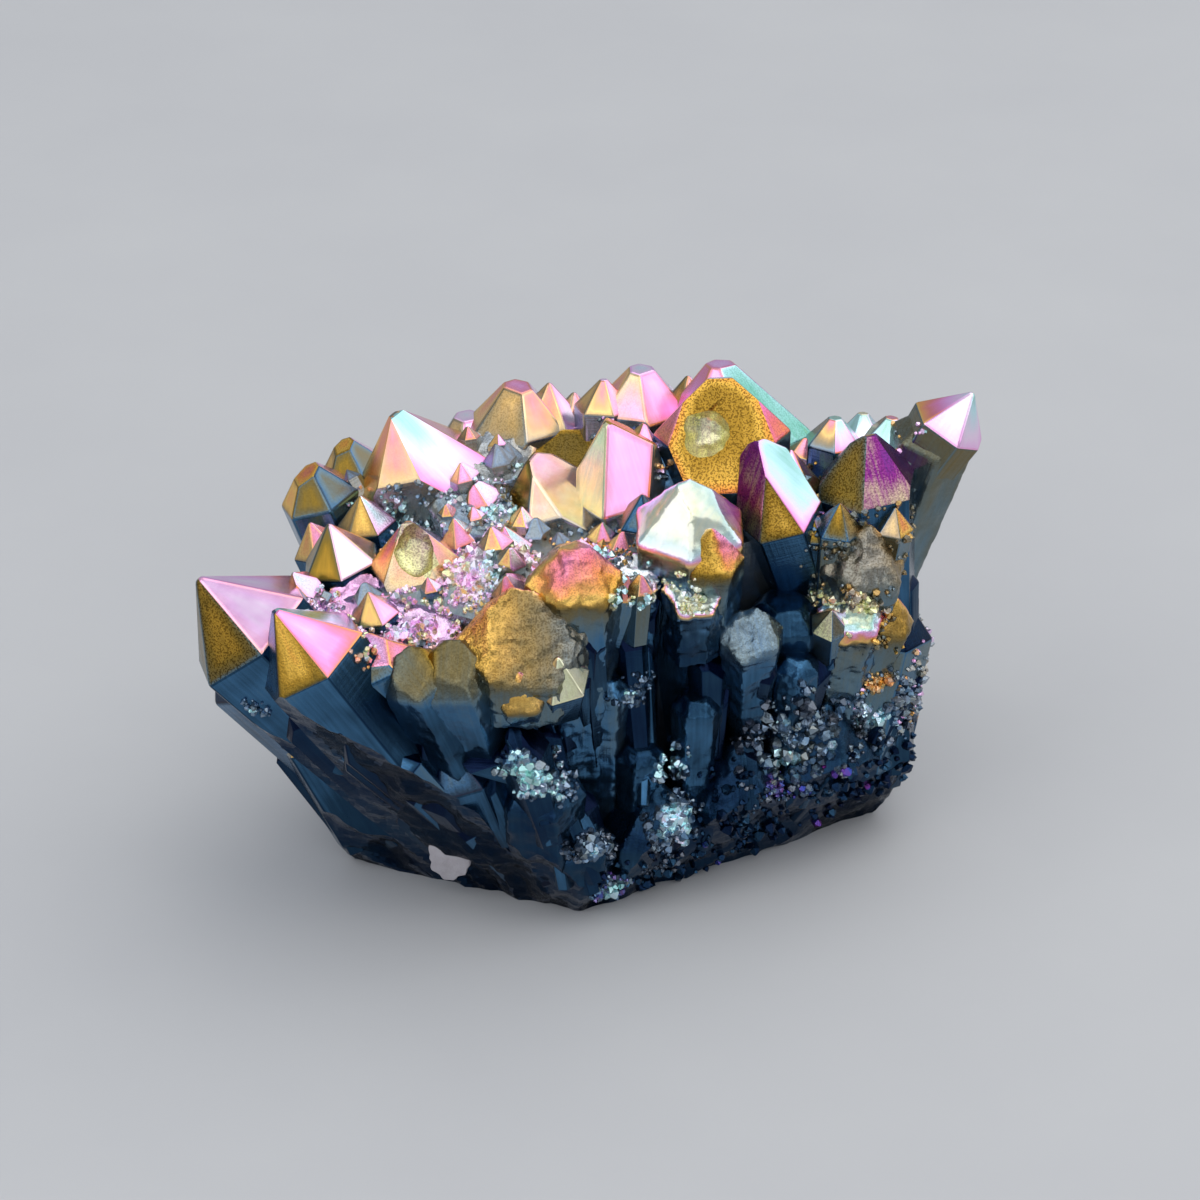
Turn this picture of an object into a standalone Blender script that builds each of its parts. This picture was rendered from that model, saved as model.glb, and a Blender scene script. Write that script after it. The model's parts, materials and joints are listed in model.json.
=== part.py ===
"""A cluster of quartz crystals that grew fanwise from one root, cut flat underneath: one solid in metres, +Z up."""
import math
import random

import bmesh
import bpy
from mathutils import Matrix, Vector
from mathutils.bvhtree import BVHTree

MM = 0.001
SEED = 11
SIDES = 6
# Angle of a pyramid face of quartz to the plane across its column.
FACE_SLOPE = math.radians(51.8)
START_BLOCK = 0.2
SNAP = 1e-7
WELD = 0.000004
PALE_QUARTZ = (0.03, 0.06, 0.10, 1.0)
ROUGHNESS = 0.28
METALLIC = 0.9

EVEN = (0, 0, 0, 0, 0, 0)
ROUND = (1, 1, 1, 1, 1, 1)

# Each crystal: name, tip (x, y, z) in mm, width across flats in mm, lean (towards, by) in degrees, turn of its
# first face in degrees, how far each pyramid face is cut down in mm, length in mm, taper, offset of each side.
CRYSTALS = [
    # The rim at the left and the front, large points that lean far out.
    ("A", (-24.1, -6.0, 23.0), 8.0, (180, 40), -103, EVEN, 30, 0.6, ROUND),
    ("B", (-19.2, -10.0, 23.1), 6.8, (182, 33), -98, (0, 0, 0, 0, 0, 0.3), 28, 0.6, ROUND),
    ("S1", (-14.0, -10.0, 21.4), 4.2, (200, 24), -80, EVEN, 22, 0.6, ROUND),
    ("S2", (-11.2, -11.5, 21.4), 4.4, (210, 22), -60, EVEN, 14, 0.8, ROUND),
    ("S3", (-8.6, -11.8, 22.0), 5.0, (235, 20), -100, EVEN, 11, 0.8, ROUND),
    ("R", (-4.0, -10.5, 25.2), 7.4, (265, 10), -88, EVEN, 9, 0.8, ROUND),
    ("R2", (-1.8, -12.0, 20.8), 3.6, (270, 22), -70, EVEN, 5, 0.6, ROUND),
    ("R3", (-4.2, -12.8, 20.2), 3.4, (262, 26), -85, EVEN, 4, 0.6, ROUND),
    ("V", (-13.5, -6.5, 22.2), 2.8, (190, 14), -40, EVEN, 18, 0.6, ROUND),
    ("C", (-16.2, -1.0, 24.0), 4.6, (180, 14), -116, EVEN, 24, 0.6, ROUND),
    ("D", (-11.2, -2.5, 25.1), 5.2, (200, 8), -95, (0.4, 0, 0, 0, 0, 0), 24, 0.6, ROUND),
    # The plateau.
    ("E", (-12.3, 6.0, 28.5), 8.4, (180, 19), -103, (0, 0.6, 0, 0, 0, 0), 28, 0.6, (0.72, 1.0, 1.25, 0.95, 0.95, 0.95)),
    ("E2", (-8.0, 10.5, 26.6), 6.6, (140, 10), -70, EVEN, 26, 0.6, ROUND),
    ("F1", (-15.9, 9.0, 25.1), 4.0, (160, 18), -100, EVEN, 26, 0.6, ROUND),
    ("F0", (-18.1, 6.0, 24.9), 4.8, (175, 18), -100, EVEN, 26, 0.6, ROUND),
    ("G", (-4.6, 10.0, 29.1), 6.0, (90, 6), -112, (0.3, 0, 0, 0, 0, 0), 28, 0.6, ROUND),
    ("G2", (-2.5, 10.6, 28.0), 4.4, (80, 8), -90, EVEN, 26, 0.6, ROUND),
    ("G3", (-0.9, 11.0, 27.1), 4.4, (70, 8), -70, EVEN, 26, 0.6, ROUND),
    ("H2", (1.0, 9.0, 29.2), 3.4, (90, 6), -100, EVEN, 28, 0.6, ROUND),
    ("H", (3.4, 10.0, 30.2), 5.6, (90, 8), -110, (0, 0.3, 0, 0, 0, 0), 28, 0.6, ROUND),
    ("H3", (5.1, 11.0, 27.7), 4.2, (80, 8), -95, EVEN, 27, 0.6, ROUND),
    ("L3", (6.4, 10.0, 28.8), 4.4, (95, 6), -75, EVEN, 27, 0.6, ROUND),
    ("I", (0.6, 1.9, 29.25), 5.4, (215, 20), -84, (1.9, -2.1, -0.6, -2.0, 0.4, 1.9), 28, 0.6, ROUND),
    ("K", (-1.3, 7.0, 27.3), 4.8, (90, 2), -95, EVEN, 28, 0.6, ROUND),
    ("J", (-3.3, 3.4, 27.2), 6.2, (180, 15), -86, (0, 1.5, 0, 0, 0, 0), 26, 0.6, ROUND),
    ("L2", (8.3, 9.0, 31.2), 9.4, (150, 8), -100, (0, 0.4, 0.2, 0, 0, 0), 28, 0.6, ROUND),
    ("L", (8.2, 4.6, 32.2), 7.6, (180, 3), -92, (2.6, 0, 0, 0, 0, 0), 28, 0.6, ROUND),
    ("M", (10.4, -1.5, 29.4), 5.0, (225, 22), -88, (2.6, 2.6, -0.4, -1.5, -1.5, 2.5), 30, 0.6, ROUND),
    ("P", (6.3, -3.5, 28.8), 6.6, (270, 8), -120, EVEN, 26, 0.6, ROUND),
    ("P2", (7.6, -5.5, 26.1), 3.8, (275, 14), -90, EVEN, 24, 0.6, ROUND),
    ("Q", (-0.8, -8.0, 27.0), 5.4, (270, 8), -80, EVEN, 26, 0.6, ROUND),
    ("N", (17.2, 2.4, 29.3), 5.8, (150, 5), -70, (1.0, 0.3, 0, 0.8, 0.4, 1.2), 28, 0.6, ROUND),
    ("W1", (15.7, 6.0, 28.2), 3.4, (60, 6), -60, EVEN, 28, 0.6, ROUND),
    ("W2", (19.4, 7.0, 27.7), 3.6, (40, 10), -60, EVEN, 28, 0.6, ROUND),
    ("W3", (17.6, 8.2, 27.3), 3.8, (70, 8), -80, EVEN, 26, 0.6, ROUND),
    ("W4", (20.9, 8.0, 26.9), 3.4, (45, 14), -75, EVEN, 24, 0.6, ROUND),
    # Low points between the large ones.
    ("X1", (-7.4, 3.2, 24.2), 2.6, (150, 12), -100, EVEN, 10, 0.7, ROUND),
    ("X2", (-8.4, -0.4, 24.0), 2.4, (200, 14), -70, EVEN, 10, 0.7, ROUND),
    ("X3", (-5.2, -1.8, 24.2), 2.8, (230, 10), -85, EVEN, 10, 0.7, ROUND),
    ("X4", (3.4, 0.2, 25.4), 3.2, (260, 8), -110, EVEN, 12, 0.7, ROUND),
    ("X5", (-6.4, 6.8, 25.2), 3.4, (120, 8), -75, EVEN, 12, 0.7, ROUND),
    ("X6", (4.8, 4.4, 26.4), 3.4, (80, 4), -95, EVEN, 12, 0.7, ROUND),
    ("X7", (12.8, 3.6, 26.8), 4.0, (60, 6), -80, EVEN, 14, 0.7, ROUND),
    ("X8", (13.8, 8.6, 25.8), 3.6, (60, 10), -60, EVEN, 14, 0.7, ROUND),
    ("X9", (-14.4, 2.6, 24.0), 3.4, (190, 10), -95, EVEN, 12, 0.7, ROUND),
    ("X10", (-17.6, 2.0, 22.4), 3.2, (185, 18), -70, EVEN, 12, 0.7, ROUND),
    ("X11", (-10.8, 9.6, 24.6), 3.4, (120, 10), -80, EVEN, 12, 0.7, ROUND),
    ("X12", (13.9, -0.6, 24.8), 2.8, (290, 10), -90, EVEN, 12, 0.7, ROUND),
    # The horn at the right and the broken column it stands on.
    ("O", (24.3, 5.0, 30.1), 4.6, (0, 30), -112, EVEN, 14, 0.6, (1, 1, 0.8, 1, 1, 1)),
    ("O2", (22.7, 5.2, 29.4), 4.8, (0, 18), -112, EVEN, 28, 0.8, ROUND),
    # Small points down the right side.
    ("T1", (15.7, -1.0, 25.4), 3.0, (290, 8), -100, EVEN, 24, 0.6, ROUND),
    ("T2", (19.2, -0.5, 24.8), 2.4, (300, 12), -100, EVEN, 22, 0.6, ROUND),
    ("T3", (17.5, -1.5, 24.2), 5.0, (300, 10), -70, EVEN, 22, 0.6, ROUND),
    ("T5", (16.9, -3.0, 20.5), 3.8, (290, 16), -90, EVEN, 20, 0.6, ROUND),
    ("T6", (19.4, -1.5, 19.0), 3.2, (320, 18), -80, EVEN, 18, 0.6, ROUND),
    ("T7", (15.2, -4.0, 19.4), 2.4, (270, 24), -60, EVEN, 16, 0.6, ROUND),
    ("LEAF", (10.2, -6.0, 21.0), 3.8, (275, 12), -75, EVEN, 12, 0.3, ROUND),
    ("U1", (1.2, -7.4, 17.4), 2.6, (270, 8), -95, EVEN, 14, 0.6, ROUND),
    ("U2", (3.3, -7.6, 12.6), 2.8, (280, 10), -70, EVEN, 12, 0.7, ROUND),
    ("U3", (6.9, -6.2, 15.6), 3.0, (280, 8), -85, EVEN, 14, 0.7, ROUND),
    ("U4", (13.2, -4.4, 17.2), 2.8, (290, 10), -60, EVEN, 14, 0.7, ROUND),
    # The far side, leaning back.
    ("BK1", (-17.0, 10.5, 21.0), 5.2, (140, 24), 40, EVEN, 24, 0.6, ROUND),
    ("BK2", (-11.5, 13.0, 22.0), 4.6, (110, 20), 70, EVEN, 24, 0.6, ROUND),
    ("BK3", (-5.5, 14.0, 23.2), 5.6, (95, 18), 95, EVEN, 25, 0.6, ROUND),
    ("BK4", (1.0, 14.6, 24.0), 4.8, (85, 18), 60, EVEN, 25, 0.6, ROUND),
    ("BK5", (7.2, 14.2, 24.8), 6.0, (80, 16), 85, EVEN, 26, 0.6, ROUND),
    ("BK6", (13.4, 12.8, 22.8), 4.6, (65, 18), 75, EVEN, 24, 0.6, ROUND),
    ("BK7", (18.8, 10.8, 22.4), 5.4, (45, 20), 50, EVEN, 24, 0.6, ROUND),
    ("BK8", (-8.6, 14.2, 18.4), 3.6, (105, 30), 80, EVEN, 18, 0.6, ROUND),
    ("BK9", (4.0, 15.2, 19.4), 3.8, (90, 26), 95, EVEN, 18, 0.6, ROUND),
    ("BK10", (15.8, 13.0, 17.6), 4.0, (60, 28), 60, EVEN, 17, 0.6, ROUND),
    ("BK11", (-20.6, 4.0, 14.6), 4.4, (165, 34), 20, EVEN, 18, 0.6, ROUND),
    ("BK12", (-14.4, 11.6, 14.6), 4.0, (130, 34), 45, EVEN, 15, 0.6, ROUND),
    # Stub columns low on the flanks.
    ("FA", (-23.5, -2.5, 17.6), 6.4, (180, 40), -75, EVEN, 24, 0.7, ROUND),
    ("FL", (-18.6, -2.5, 14.0), 6.4, (180, 25), -95, EVEN, 20, 0.9, ROUND),
    ("FB", (-15.0, -9.6, 16.5), 5.6, (196, 34), -100, EVEN, 24, 0.8, ROUND),
    ("FB2", (-16.6, -12.0, 17.0), 2.6, (192, 36), -88, EVEN, 20, 0.8, ROUND),
    ("FB3", (-12.4, -12.4, 14.4), 2.8, (204, 34), -110, EVEN, 18, 0.8, ROUND),
    ("FB4", (-8.8, -12.6, 10.6), 2.8, (220, 30), -95, EVEN, 14, 0.8, ROUND),
    ("FC", (-9.0, -10.6, 14.6), 5.2, (225, 22), -85, EVEN, 20, 0.8, ROUND),
    ("FD", (-3.2, -10.4, 13.2), 5.2, (255, 10), -100, EVEN, 16, 0.8, ROUND),
    ("FE", (-0.6, -9.6, 8.4), 4.2, (265, 6), -80, EVEN, 12, 0.9, ROUND),
    ("FF", (4.4, -7.6, 9.2), 6.0, (290, 8), -100, EVEN, 12, 0.9, ROUND),
    ("FG", (9.6, -5.4, 11.0), 6.6, (295, 10), -80, EVEN, 14, 0.9, ROUND),
    ("FH", (15.2, -2.2, 12.0), 7.2, (300, 12), -95, EVEN, 15, 0.9, ROUND),
    ("FR", (19.6, 1.0, 18.4), 5.2, (0, 9), -100, EVEN, 20, 0.85, ROUND),
    ("FS", (19.2, 4.2, 12.0), 6.4, (20, 10), -70, EVEN, 14, 0.9, ROUND),
]

# Points that broke off: the way the break faces and its slope in degrees, and how far below the tip it lies in mm.
LOPS = {
    "F0": (-150, 20, 1.0),
    "F1": (-120, 20, 0.8),
    "S1": (-60, 26, 1.2),
    "S2": (-90, 30, 1.3),
    "S3": (-70, 28, 1.3),
    "R": (-80, 38, 2.5),
    "P": (-30, 28, 1.3),
    "LEAF": (-110, 40, 1.5),
    "E2": (-60, 8, 1.0),
    "G": (-70, 12, 1.1),
    "H2": (0, 0, 0.3),
    "H": (-60, 10, 1.0),
    "K": (-105, 24, 2.1),
    "L2": (30, 10, 1.2),
    "L": (90, 10, 1.3),
    "W1": (0, 0, 0.5),
    "W2": (0, 0, 0.5),
    "W3": (0, 0, 0.4),
}

# The body that the columns grow from. Flanks: facing in degrees, distance from the middle at the base in mm,
# flare in degrees. Tops: a point on the plane in mm, facing, and its slope in degrees.
FLANKS = [(-112, 7.6, 6), (-59, 4.6, 3), (-10, 15.2, 6), (40, 16.0, 6), (95, 9.6, 12), (154, 12.6, 12), (200, 13.4, 8)]
TOPS = [((0, 0, 22.4), 0, 0), ((0, -5.5, 22.4), -100, 24), ((-9, 0, 22.0), 180, 15), ((0, 7, 22.0), 90, 22)]
BODY_FOOT = -2.0
# Planes that trim the lower ends of the columns, as for the flanks.
TRIMS = [(-112, 8.8, 30), (-59, 7.8, 30), (-20, 17.4, 24), (40, 16.6, 30), (95, 10.2, 34), (154, 13.0, 34), (200, 15.8, 36)]
TRIM_TOP = 60.0
# The solid root that the cut passes through.
ROOT_TOP = 3.5
ROOT_INSET = 0.4

# Druse, small crystals grown over a patch: middle in mm, facing (azimuth, elevation), radius in mm, count, width in mm.
PATCHES = [
    ((-6.5, -4.5, 23.0), (-90, 60), 3.4, 26, (1.0, 1.9)),
    ((-11.5, -8.5, 21.0), (-90, 60), 3.0, 22, (1.0, 1.9)),
    ((-6.2, 1.5, 23.0), (-90, 70), 2.6, 14, (1.0, 2.0)),
    ((0.6, -2.6, 23.0), (-90, 60), 2.2, 12, (1.0, 2.0)),
    ((-16.5, -5.0, 20.0), (-100, 60), 2.0, 8, (1.0, 1.8)),
    ((16.5, 0.0, 22.0), (-80, 30), 3.0, 12, (1.0, 1.8)),
    ((-3.2, -8.5, 10.7), (-90, 30), 2.2, 10, (0.8, 1.4)),
    ((5.3, -6.5, 9.3), (-80, 35), 1.6, 6, (0.8, 1.4)),
    ((5.3, -8.0, 5.6), (-70, 30), 1.8, 7, (0.8, 1.4)),
    ((0.0, -9.0, 4.4), (-80, 30), 1.5, 5, (0.8, 1.2)),
    ((13.0, -4.0, 9.8), (-70, 35), 3.4, 14, (1.0, 1.7)),
    ((18.5, -1.0, 10.0), (-40, 25), 2.2, 7, (1.0, 1.8)),
    ((3.0, -4.0, 17.5), (-90, 20), 1.2, 4, (0.8, 1.2)),
    ((-6.0, 12.0, 12.0), (95, 25), 3.0, 10, (1.0, 1.8)),
    ((9.0, 12.0, 10.0), (80, 25), 3.4, 12, (1.0, 1.8)),
]
GRAIN_LENGTH = 2.2
GRAIN_PROUD = 0.8
RAY_START = 20.0

# Conchoidal pits: middle in mm, radius in mm.
PITS = [((-10.8, -4.5, 23.9), 1.9), ((7.4, 3.0, 28.2), 1.5), ((-6.6, -12.6, 13.6), 1.4)]
PIT_SEGMENTS = 10


def direction(azimuth, elevation):
    """Unit vector for an azimuth and an elevation in degrees."""
    a = math.radians(azimuth)
    e = math.radians(elevation)
    return Vector((math.cos(a) * math.cos(e), math.sin(a) * math.cos(e), math.sin(e)))


def keep_below(solid, point, normal):
    """Cuts the convex solid with a plane and closes the cut."""
    cut = bmesh.ops.bisect_plane(
        solid,
        geom=solid.verts[:] + solid.edges[:] + solid.faces[:],
        dist=SNAP,
        plane_co=point,
        plane_no=normal,
        clear_outer=True,
    )
    edges = [item for item in cut["geom_cut"] if isinstance(item, bmesh.types.BMEdge)]
    if len(edges) > 2:
        bmesh.ops.contextual_create(solid, geom=edges)


def convex(planes):
    """A closed convex solid, as a bmesh, from planes that face outwards."""
    solid = bmesh.new()
    bmesh.ops.create_cube(solid, size=START_BLOCK)
    for point, normal in planes:
        keep_below(solid, point, normal)
    bmesh.ops.recalc_face_normals(solid, faces=solid.faces[:])
    return solid


def crystal(tip, width, lean, turn, cuts, length, taper, sides, lop=None):
    """A tapered six-sided column with a pyramid of six faces, lopped where its point broke off."""
    apothem = width / 2
    shoulder = -apothem * math.tan(FACE_SLOPE)
    narrowing = math.atan(apothem * (1 - taper) / length)
    planes = []
    for index in range(SIDES):
        facing = turn + 60 * index
        out = direction(facing, 0)
        side_point = out * apothem * sides[index] + Vector((0, 0, shoulder))
        side_normal = out * math.cos(narrowing) - Vector((0, 0, math.sin(narrowing)))
        planes.append((side_point, side_normal))
    for index in range(SIDES):
        out = direction(turn + 60 * index, 0)
        face_normal = out * math.sin(FACE_SLOPE) + Vector((0, 0, math.cos(FACE_SLOPE)))
        planes.append((Vector((0, 0, -cuts[index])), face_normal))
    if lop:
        facing, slope, depth = lop
        planes.append((Vector((0, 0, -depth)), direction(facing, 90 - slope)))
    planes.append((Vector((0, 0, -length)), Vector((0, 0, -1))))
    solid = convex([(point * MM, normal) for point, normal in planes])
    axis = direction(lean[0], 90 - lean[1])
    place = Matrix.Translation(Vector(tip) * MM) @ Vector((0, 0, 1)).rotation_difference(axis).to_matrix().to_4x4()
    bmesh.ops.transform(solid, matrix=place, verts=solid.verts[:])
    return solid


def body():
    """The faceted body under the plateau."""
    planes = []
    for facing, reach, flare in FLANKS:
        planes.append((direction(facing, 0) * reach * MM, direction(facing, -flare)))
    for point, facing, slope in TOPS:
        planes.append((Vector(point) * MM, direction(facing, 90 - slope)))
    planes.append((Vector((0, 0, BODY_FOOT)) * MM, Vector((0, 0, -1))))
    return convex(planes)


def root():
    """The closed root of the cluster, a little inside the trimmed ends."""
    planes = []
    for facing, reach, flare in TRIMS:
        planes.append((direction(facing, 0) * (reach - ROOT_INSET) * MM, direction(facing, -flare)))
    planes.append((Vector((0, 0, ROOT_TOP)) * MM, Vector((0, 0, 1))))
    planes.append((Vector((0, 0, BODY_FOOT)) * MM, Vector((0, 0, -1))))
    return convex(planes)


def trim():
    """The space inside the planes that trim the lower ends."""
    planes = []
    for facing, reach, flare in TRIMS:
        planes.append((direction(facing, 0) * reach * MM, direction(facing, -flare)))
    planes.append((Vector((0, 0, TRIM_TOP)) * MM, Vector((0, 0, 1))))
    planes.append((Vector((0, 0, 0)), Vector((0, 0, -1))))
    return convex(planes)


def as_object(name, solid, collection):
    mesh = bpy.data.meshes.new(name)
    solid.to_mesh(mesh)
    solid.free()
    made = bpy.data.objects.new(name, mesh)
    collection.objects.link(made)
    return made


def evaluated_bmesh(made):
    """The object with its modifiers, as a bmesh."""
    bpy.context.view_layer.update()
    graph = bpy.context.evaluated_depsgraph_get()
    solid = bmesh.new()
    solid.from_object(made, graph)
    return solid


def boolean(made, kind, operand):
    cut = made.modifiers.new(kind.title(), "BOOLEAN")
    cut.operation = kind
    cut.solver = "EXACT"
    if isinstance(operand, bpy.types.Collection):
        cut.operand_type = "COLLECTION"
        cut.collection = operand
    else:
        cut.object = operand


def helper_collection(name):
    made = bpy.data.collections.new(name)
    made.hide_render = True
    bpy.context.scene.collection.children.link(made)
    return made


def outer_shell(solid):
    """Keeps the largest connected shell."""
    left = set(solid.faces)
    shells = []
    while left:
        stack = [left.pop()]
        shell = list(stack)
        while stack:
            for edge in stack.pop().edges:
                for face in edge.link_faces:
                    if face in left:
                        left.remove(face)
                        stack.append(face)
                        shell.append(face)
        shells.append(shell)
    shells.sort(key=lambda shell: sum(face.calc_area() for face in shell))
    dropped = [face for shell in shells[:-1] for face in shell]
    bmesh.ops.delete(solid, geom=dropped, context="FACES")


def tidy(solid):
    """Welds the points that meet and makes every face flat."""
    bmesh.ops.remove_doubles(solid, verts=solid.verts[:], dist=WELD)
    bmesh.ops.triangulate(solid, faces=solid.faces[:])
    flaps = [face for face in solid.faces if all(len(edge.link_faces) > 2 for edge in face.edges)]
    bmesh.ops.delete(solid, geom=flaps, context="FACES_ONLY")
    outer_shell(solid)


def grains(base, collection):
    """Small crystals standing on the base over each patch."""
    pick = random.Random(SEED)
    surface = BVHTree.FromBMesh(base)
    for patch, (middle, facing, radius, count, widths) in enumerate(PATCHES):
        out = direction(*facing)
        across = out.cross(Vector((0, 0, 1))).normalized()
        up = across.cross(out)
        for number in range(count):
            angle = pick.uniform(0, math.tau)
            reach = radius * math.sqrt(pick.random())
            offset = across * math.cos(angle) * reach + up * math.sin(angle) * reach
            start = (Vector(middle) + offset + out * RAY_START) * MM
            hit, normal = surface.ray_cast(start, -out)[:2]
            if hit is None:
                continue
            axis = (normal + out + Vector([pick.uniform(-0.5, 0.5) for _ in range(3)])).normalized()
            tip = hit / MM + axis * GRAIN_PROUD
            lean = (math.degrees(math.atan2(axis.y, axis.x)), math.degrees(axis.angle(Vector((0, 0, 1)))))
            small = crystal(tip, pick.uniform(*widths), lean, pick.uniform(0, 60), EVEN, GRAIN_LENGTH, 1, ROUND)
            as_object(f"grain_{patch}_{number}", small, collection)


def pit_cutters(collection):
    for number, (middle, radius) in enumerate(PITS):
        ball = bmesh.new()
        bmesh.ops.create_uvsphere(
            ball,
            u_segments=PIT_SEGMENTS,
            v_segments=PIT_SEGMENTS // 2,
            radius=radius * MM,
            matrix=Matrix.Translation(Vector(middle) * MM),
        )
        as_object(f"pit_{number}", ball, collection)


def centred(solid):
    """Moves the solid so that the middle of its bounds is over the origin."""
    xs = [vert.co.x for vert in solid.verts]
    ys = [vert.co.y for vert in solid.verts]
    zs = [vert.co.z for vert in solid.verts]
    middle = Vector(((min(xs) + max(xs)) / 2, (min(ys) + max(ys)) / 2, min(zs)))
    print("shift (mm)", [round(value / MM, 3) for value in middle])
    print("size (mm)", [round((max(v) - min(v)) / MM, 2) for v in (xs, ys, zs)])
    bmesh.ops.translate(solid, vec=-middle, verts=solid.verts[:])


def stone():
    made = bpy.data.materials.new("aura_quartz")
    made.use_nodes = True
    surface = made.node_tree.nodes["Principled BSDF"]
    surface.inputs["Base Color"].default_value = PALE_QUARTZ
    surface.inputs["Roughness"].default_value = ROUGHNESS
    surface.inputs["Metallic"].default_value = METALLIC
    made.diffuse_color = PALE_QUARTZ
    return made


def main():
    for old in list(bpy.data.objects):
        bpy.data.objects.remove(old)
    whole = bpy.data.collections.new("quartz_cluster")
    bpy.context.scene.collection.children.link(whole)
    columns = helper_collection("columns")
    cutters = helper_collection("cutters")
    for name, tip, width, lean, turn, cuts, length, taper, sides in CRYSTALS:
        as_object(name, crystal(tip, width, lean, turn, cuts, length, taper, sides, LOPS.get(name)), columns)
    as_object("root", root(), columns)
    core = as_object("core", body(), cutters)
    boolean(core, "UNION", columns)
    base = evaluated_bmesh(core)
    grains(base, columns)
    base.free()
    pits = helper_collection("pits")
    pit_cutters(pits)
    boolean(core, "DIFFERENCE", pits)
    boolean(core, "INTERSECT", as_object("trim", trim(), cutters))
    solid = evaluated_bmesh(core)
    tidy(solid)
    centred(solid)
    print("triangles", len(solid.faces))
    cluster = as_object("quartz_cluster", solid, whole)
    cluster.data.materials.append(stone())
    for helper in list(columns.objects) + list(pits.objects) + list(cutters.objects):
        helper.display_type = "WIRE"
        helper.hide_render = True


main()
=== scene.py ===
import bpy
import json
import math
import random
import numpy as np
from mathutils import Matrix, Vector, noise
from mathutils.bvhtree import BVHTree

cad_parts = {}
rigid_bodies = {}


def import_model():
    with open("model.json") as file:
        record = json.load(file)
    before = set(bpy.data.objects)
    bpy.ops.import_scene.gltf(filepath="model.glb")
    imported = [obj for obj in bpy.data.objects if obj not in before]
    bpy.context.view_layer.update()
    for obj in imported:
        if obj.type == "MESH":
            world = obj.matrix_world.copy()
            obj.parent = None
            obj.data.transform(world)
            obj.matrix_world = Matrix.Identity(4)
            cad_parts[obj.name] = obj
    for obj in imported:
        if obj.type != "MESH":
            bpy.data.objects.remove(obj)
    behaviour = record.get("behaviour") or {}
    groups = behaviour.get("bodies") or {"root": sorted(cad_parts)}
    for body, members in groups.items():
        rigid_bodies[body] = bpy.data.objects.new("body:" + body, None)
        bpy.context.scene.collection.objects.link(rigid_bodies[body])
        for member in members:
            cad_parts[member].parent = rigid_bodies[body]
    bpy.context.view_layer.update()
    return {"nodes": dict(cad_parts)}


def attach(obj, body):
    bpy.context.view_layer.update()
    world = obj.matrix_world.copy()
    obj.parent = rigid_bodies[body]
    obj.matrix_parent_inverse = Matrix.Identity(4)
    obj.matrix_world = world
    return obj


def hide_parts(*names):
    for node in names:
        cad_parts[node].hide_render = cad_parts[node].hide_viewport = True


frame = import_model()
print("frame loaded:", sorted(frame["nodes"]))

mm = 0.001
middle = Vector((-0.284, -1.366, 0.0))  # mm, brings the rows below over the middle of the base
faceSlope = 51.8  # degrees, quartz pyramid face against the plane across its column
plateauPaintedSheen = 0.45  # painted sheen: how far the columns between the points are washed toward white, as if lit from above
zUp, zDown = Vector((0, 0, 1)), Vector((0, 0, -1))


# helpers
def direction(azimuth, elevation=0.0):
    a, e = math.radians(azimuth), math.radians(elevation)
    return Vector((math.cos(a) * math.cos(e), math.sin(a) * math.cos(e), math.sin(e)))


def leanOf(axis):
    # which way an axis leans, and how far, in degrees
    return (math.degrees(math.atan2(axis.y, axis.x)), math.degrees(axis.angle(zUp)))


def mode(name):
    bpy.ops.object.mode_set(mode=name)


def deselectAll():
    if bpy.context.mode != "OBJECT":
        mode("OBJECT")
    bpy.ops.object.select_all(action="DESELECT")


def pick(obj):
    deselectAll()
    obj.select_set(True)
    bpy.context.view_layer.objects.active = obj


def applyAll(obj):
    pick(obj)
    for modifier in list(obj.modifiers):
        bpy.ops.object.modifier_apply(modifier=modifier.name)


def boolean(obj, operation, other):
    # other is an object, or a collection of them
    join = obj.modifiers.new("Join", "BOOLEAN")
    join.operation = operation
    join.solver = "MANIFOLD"
    if isinstance(other, bpy.types.Collection):
        join.operand_type = "COLLECTION"
        join.collection = other
    else:
        join.object = other
    applyAll(obj)


def addRemesh(obj, voxel):
    remesh = obj.modifiers.new("Fine", "REMESH")
    remesh.mode = "VOXEL"
    remesh.voxel_size = voxel * mm
    soft = obj.modifiers.new("Soft", "SMOOTH")
    soft.factor = 0.5
    soft.iterations = 2


def cutAway(point, normal):
    # keeps what lies behind the plane and closes the cut
    bpy.ops.mesh.select_all(action="SELECT")
    bpy.ops.mesh.bisect(plane_co=point, plane_no=normal, use_fill=True, clear_outer=True, threshold=1e-7)


crystalLook = {
    "rise": 4.0,  # mm of column above the tip, for points whose faces are raised
    "soft": (0.03, 0.16),  # width of the soft edges: share of the crystal's, and mm at most
    "rings": (0.025, 0.09),  # of the width, lines beside the edges of a point
    "voxel": (0.034, 0.16),  # on worn crystals: share of the width, and mm at least
    "clouds": ((1.5, 1.0), (0.5, 0.6)),  # mm, and share of the roughness
    "shell": (0.22, 0.025),  # how uneven a pit is, and how deep its rings
}
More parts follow.
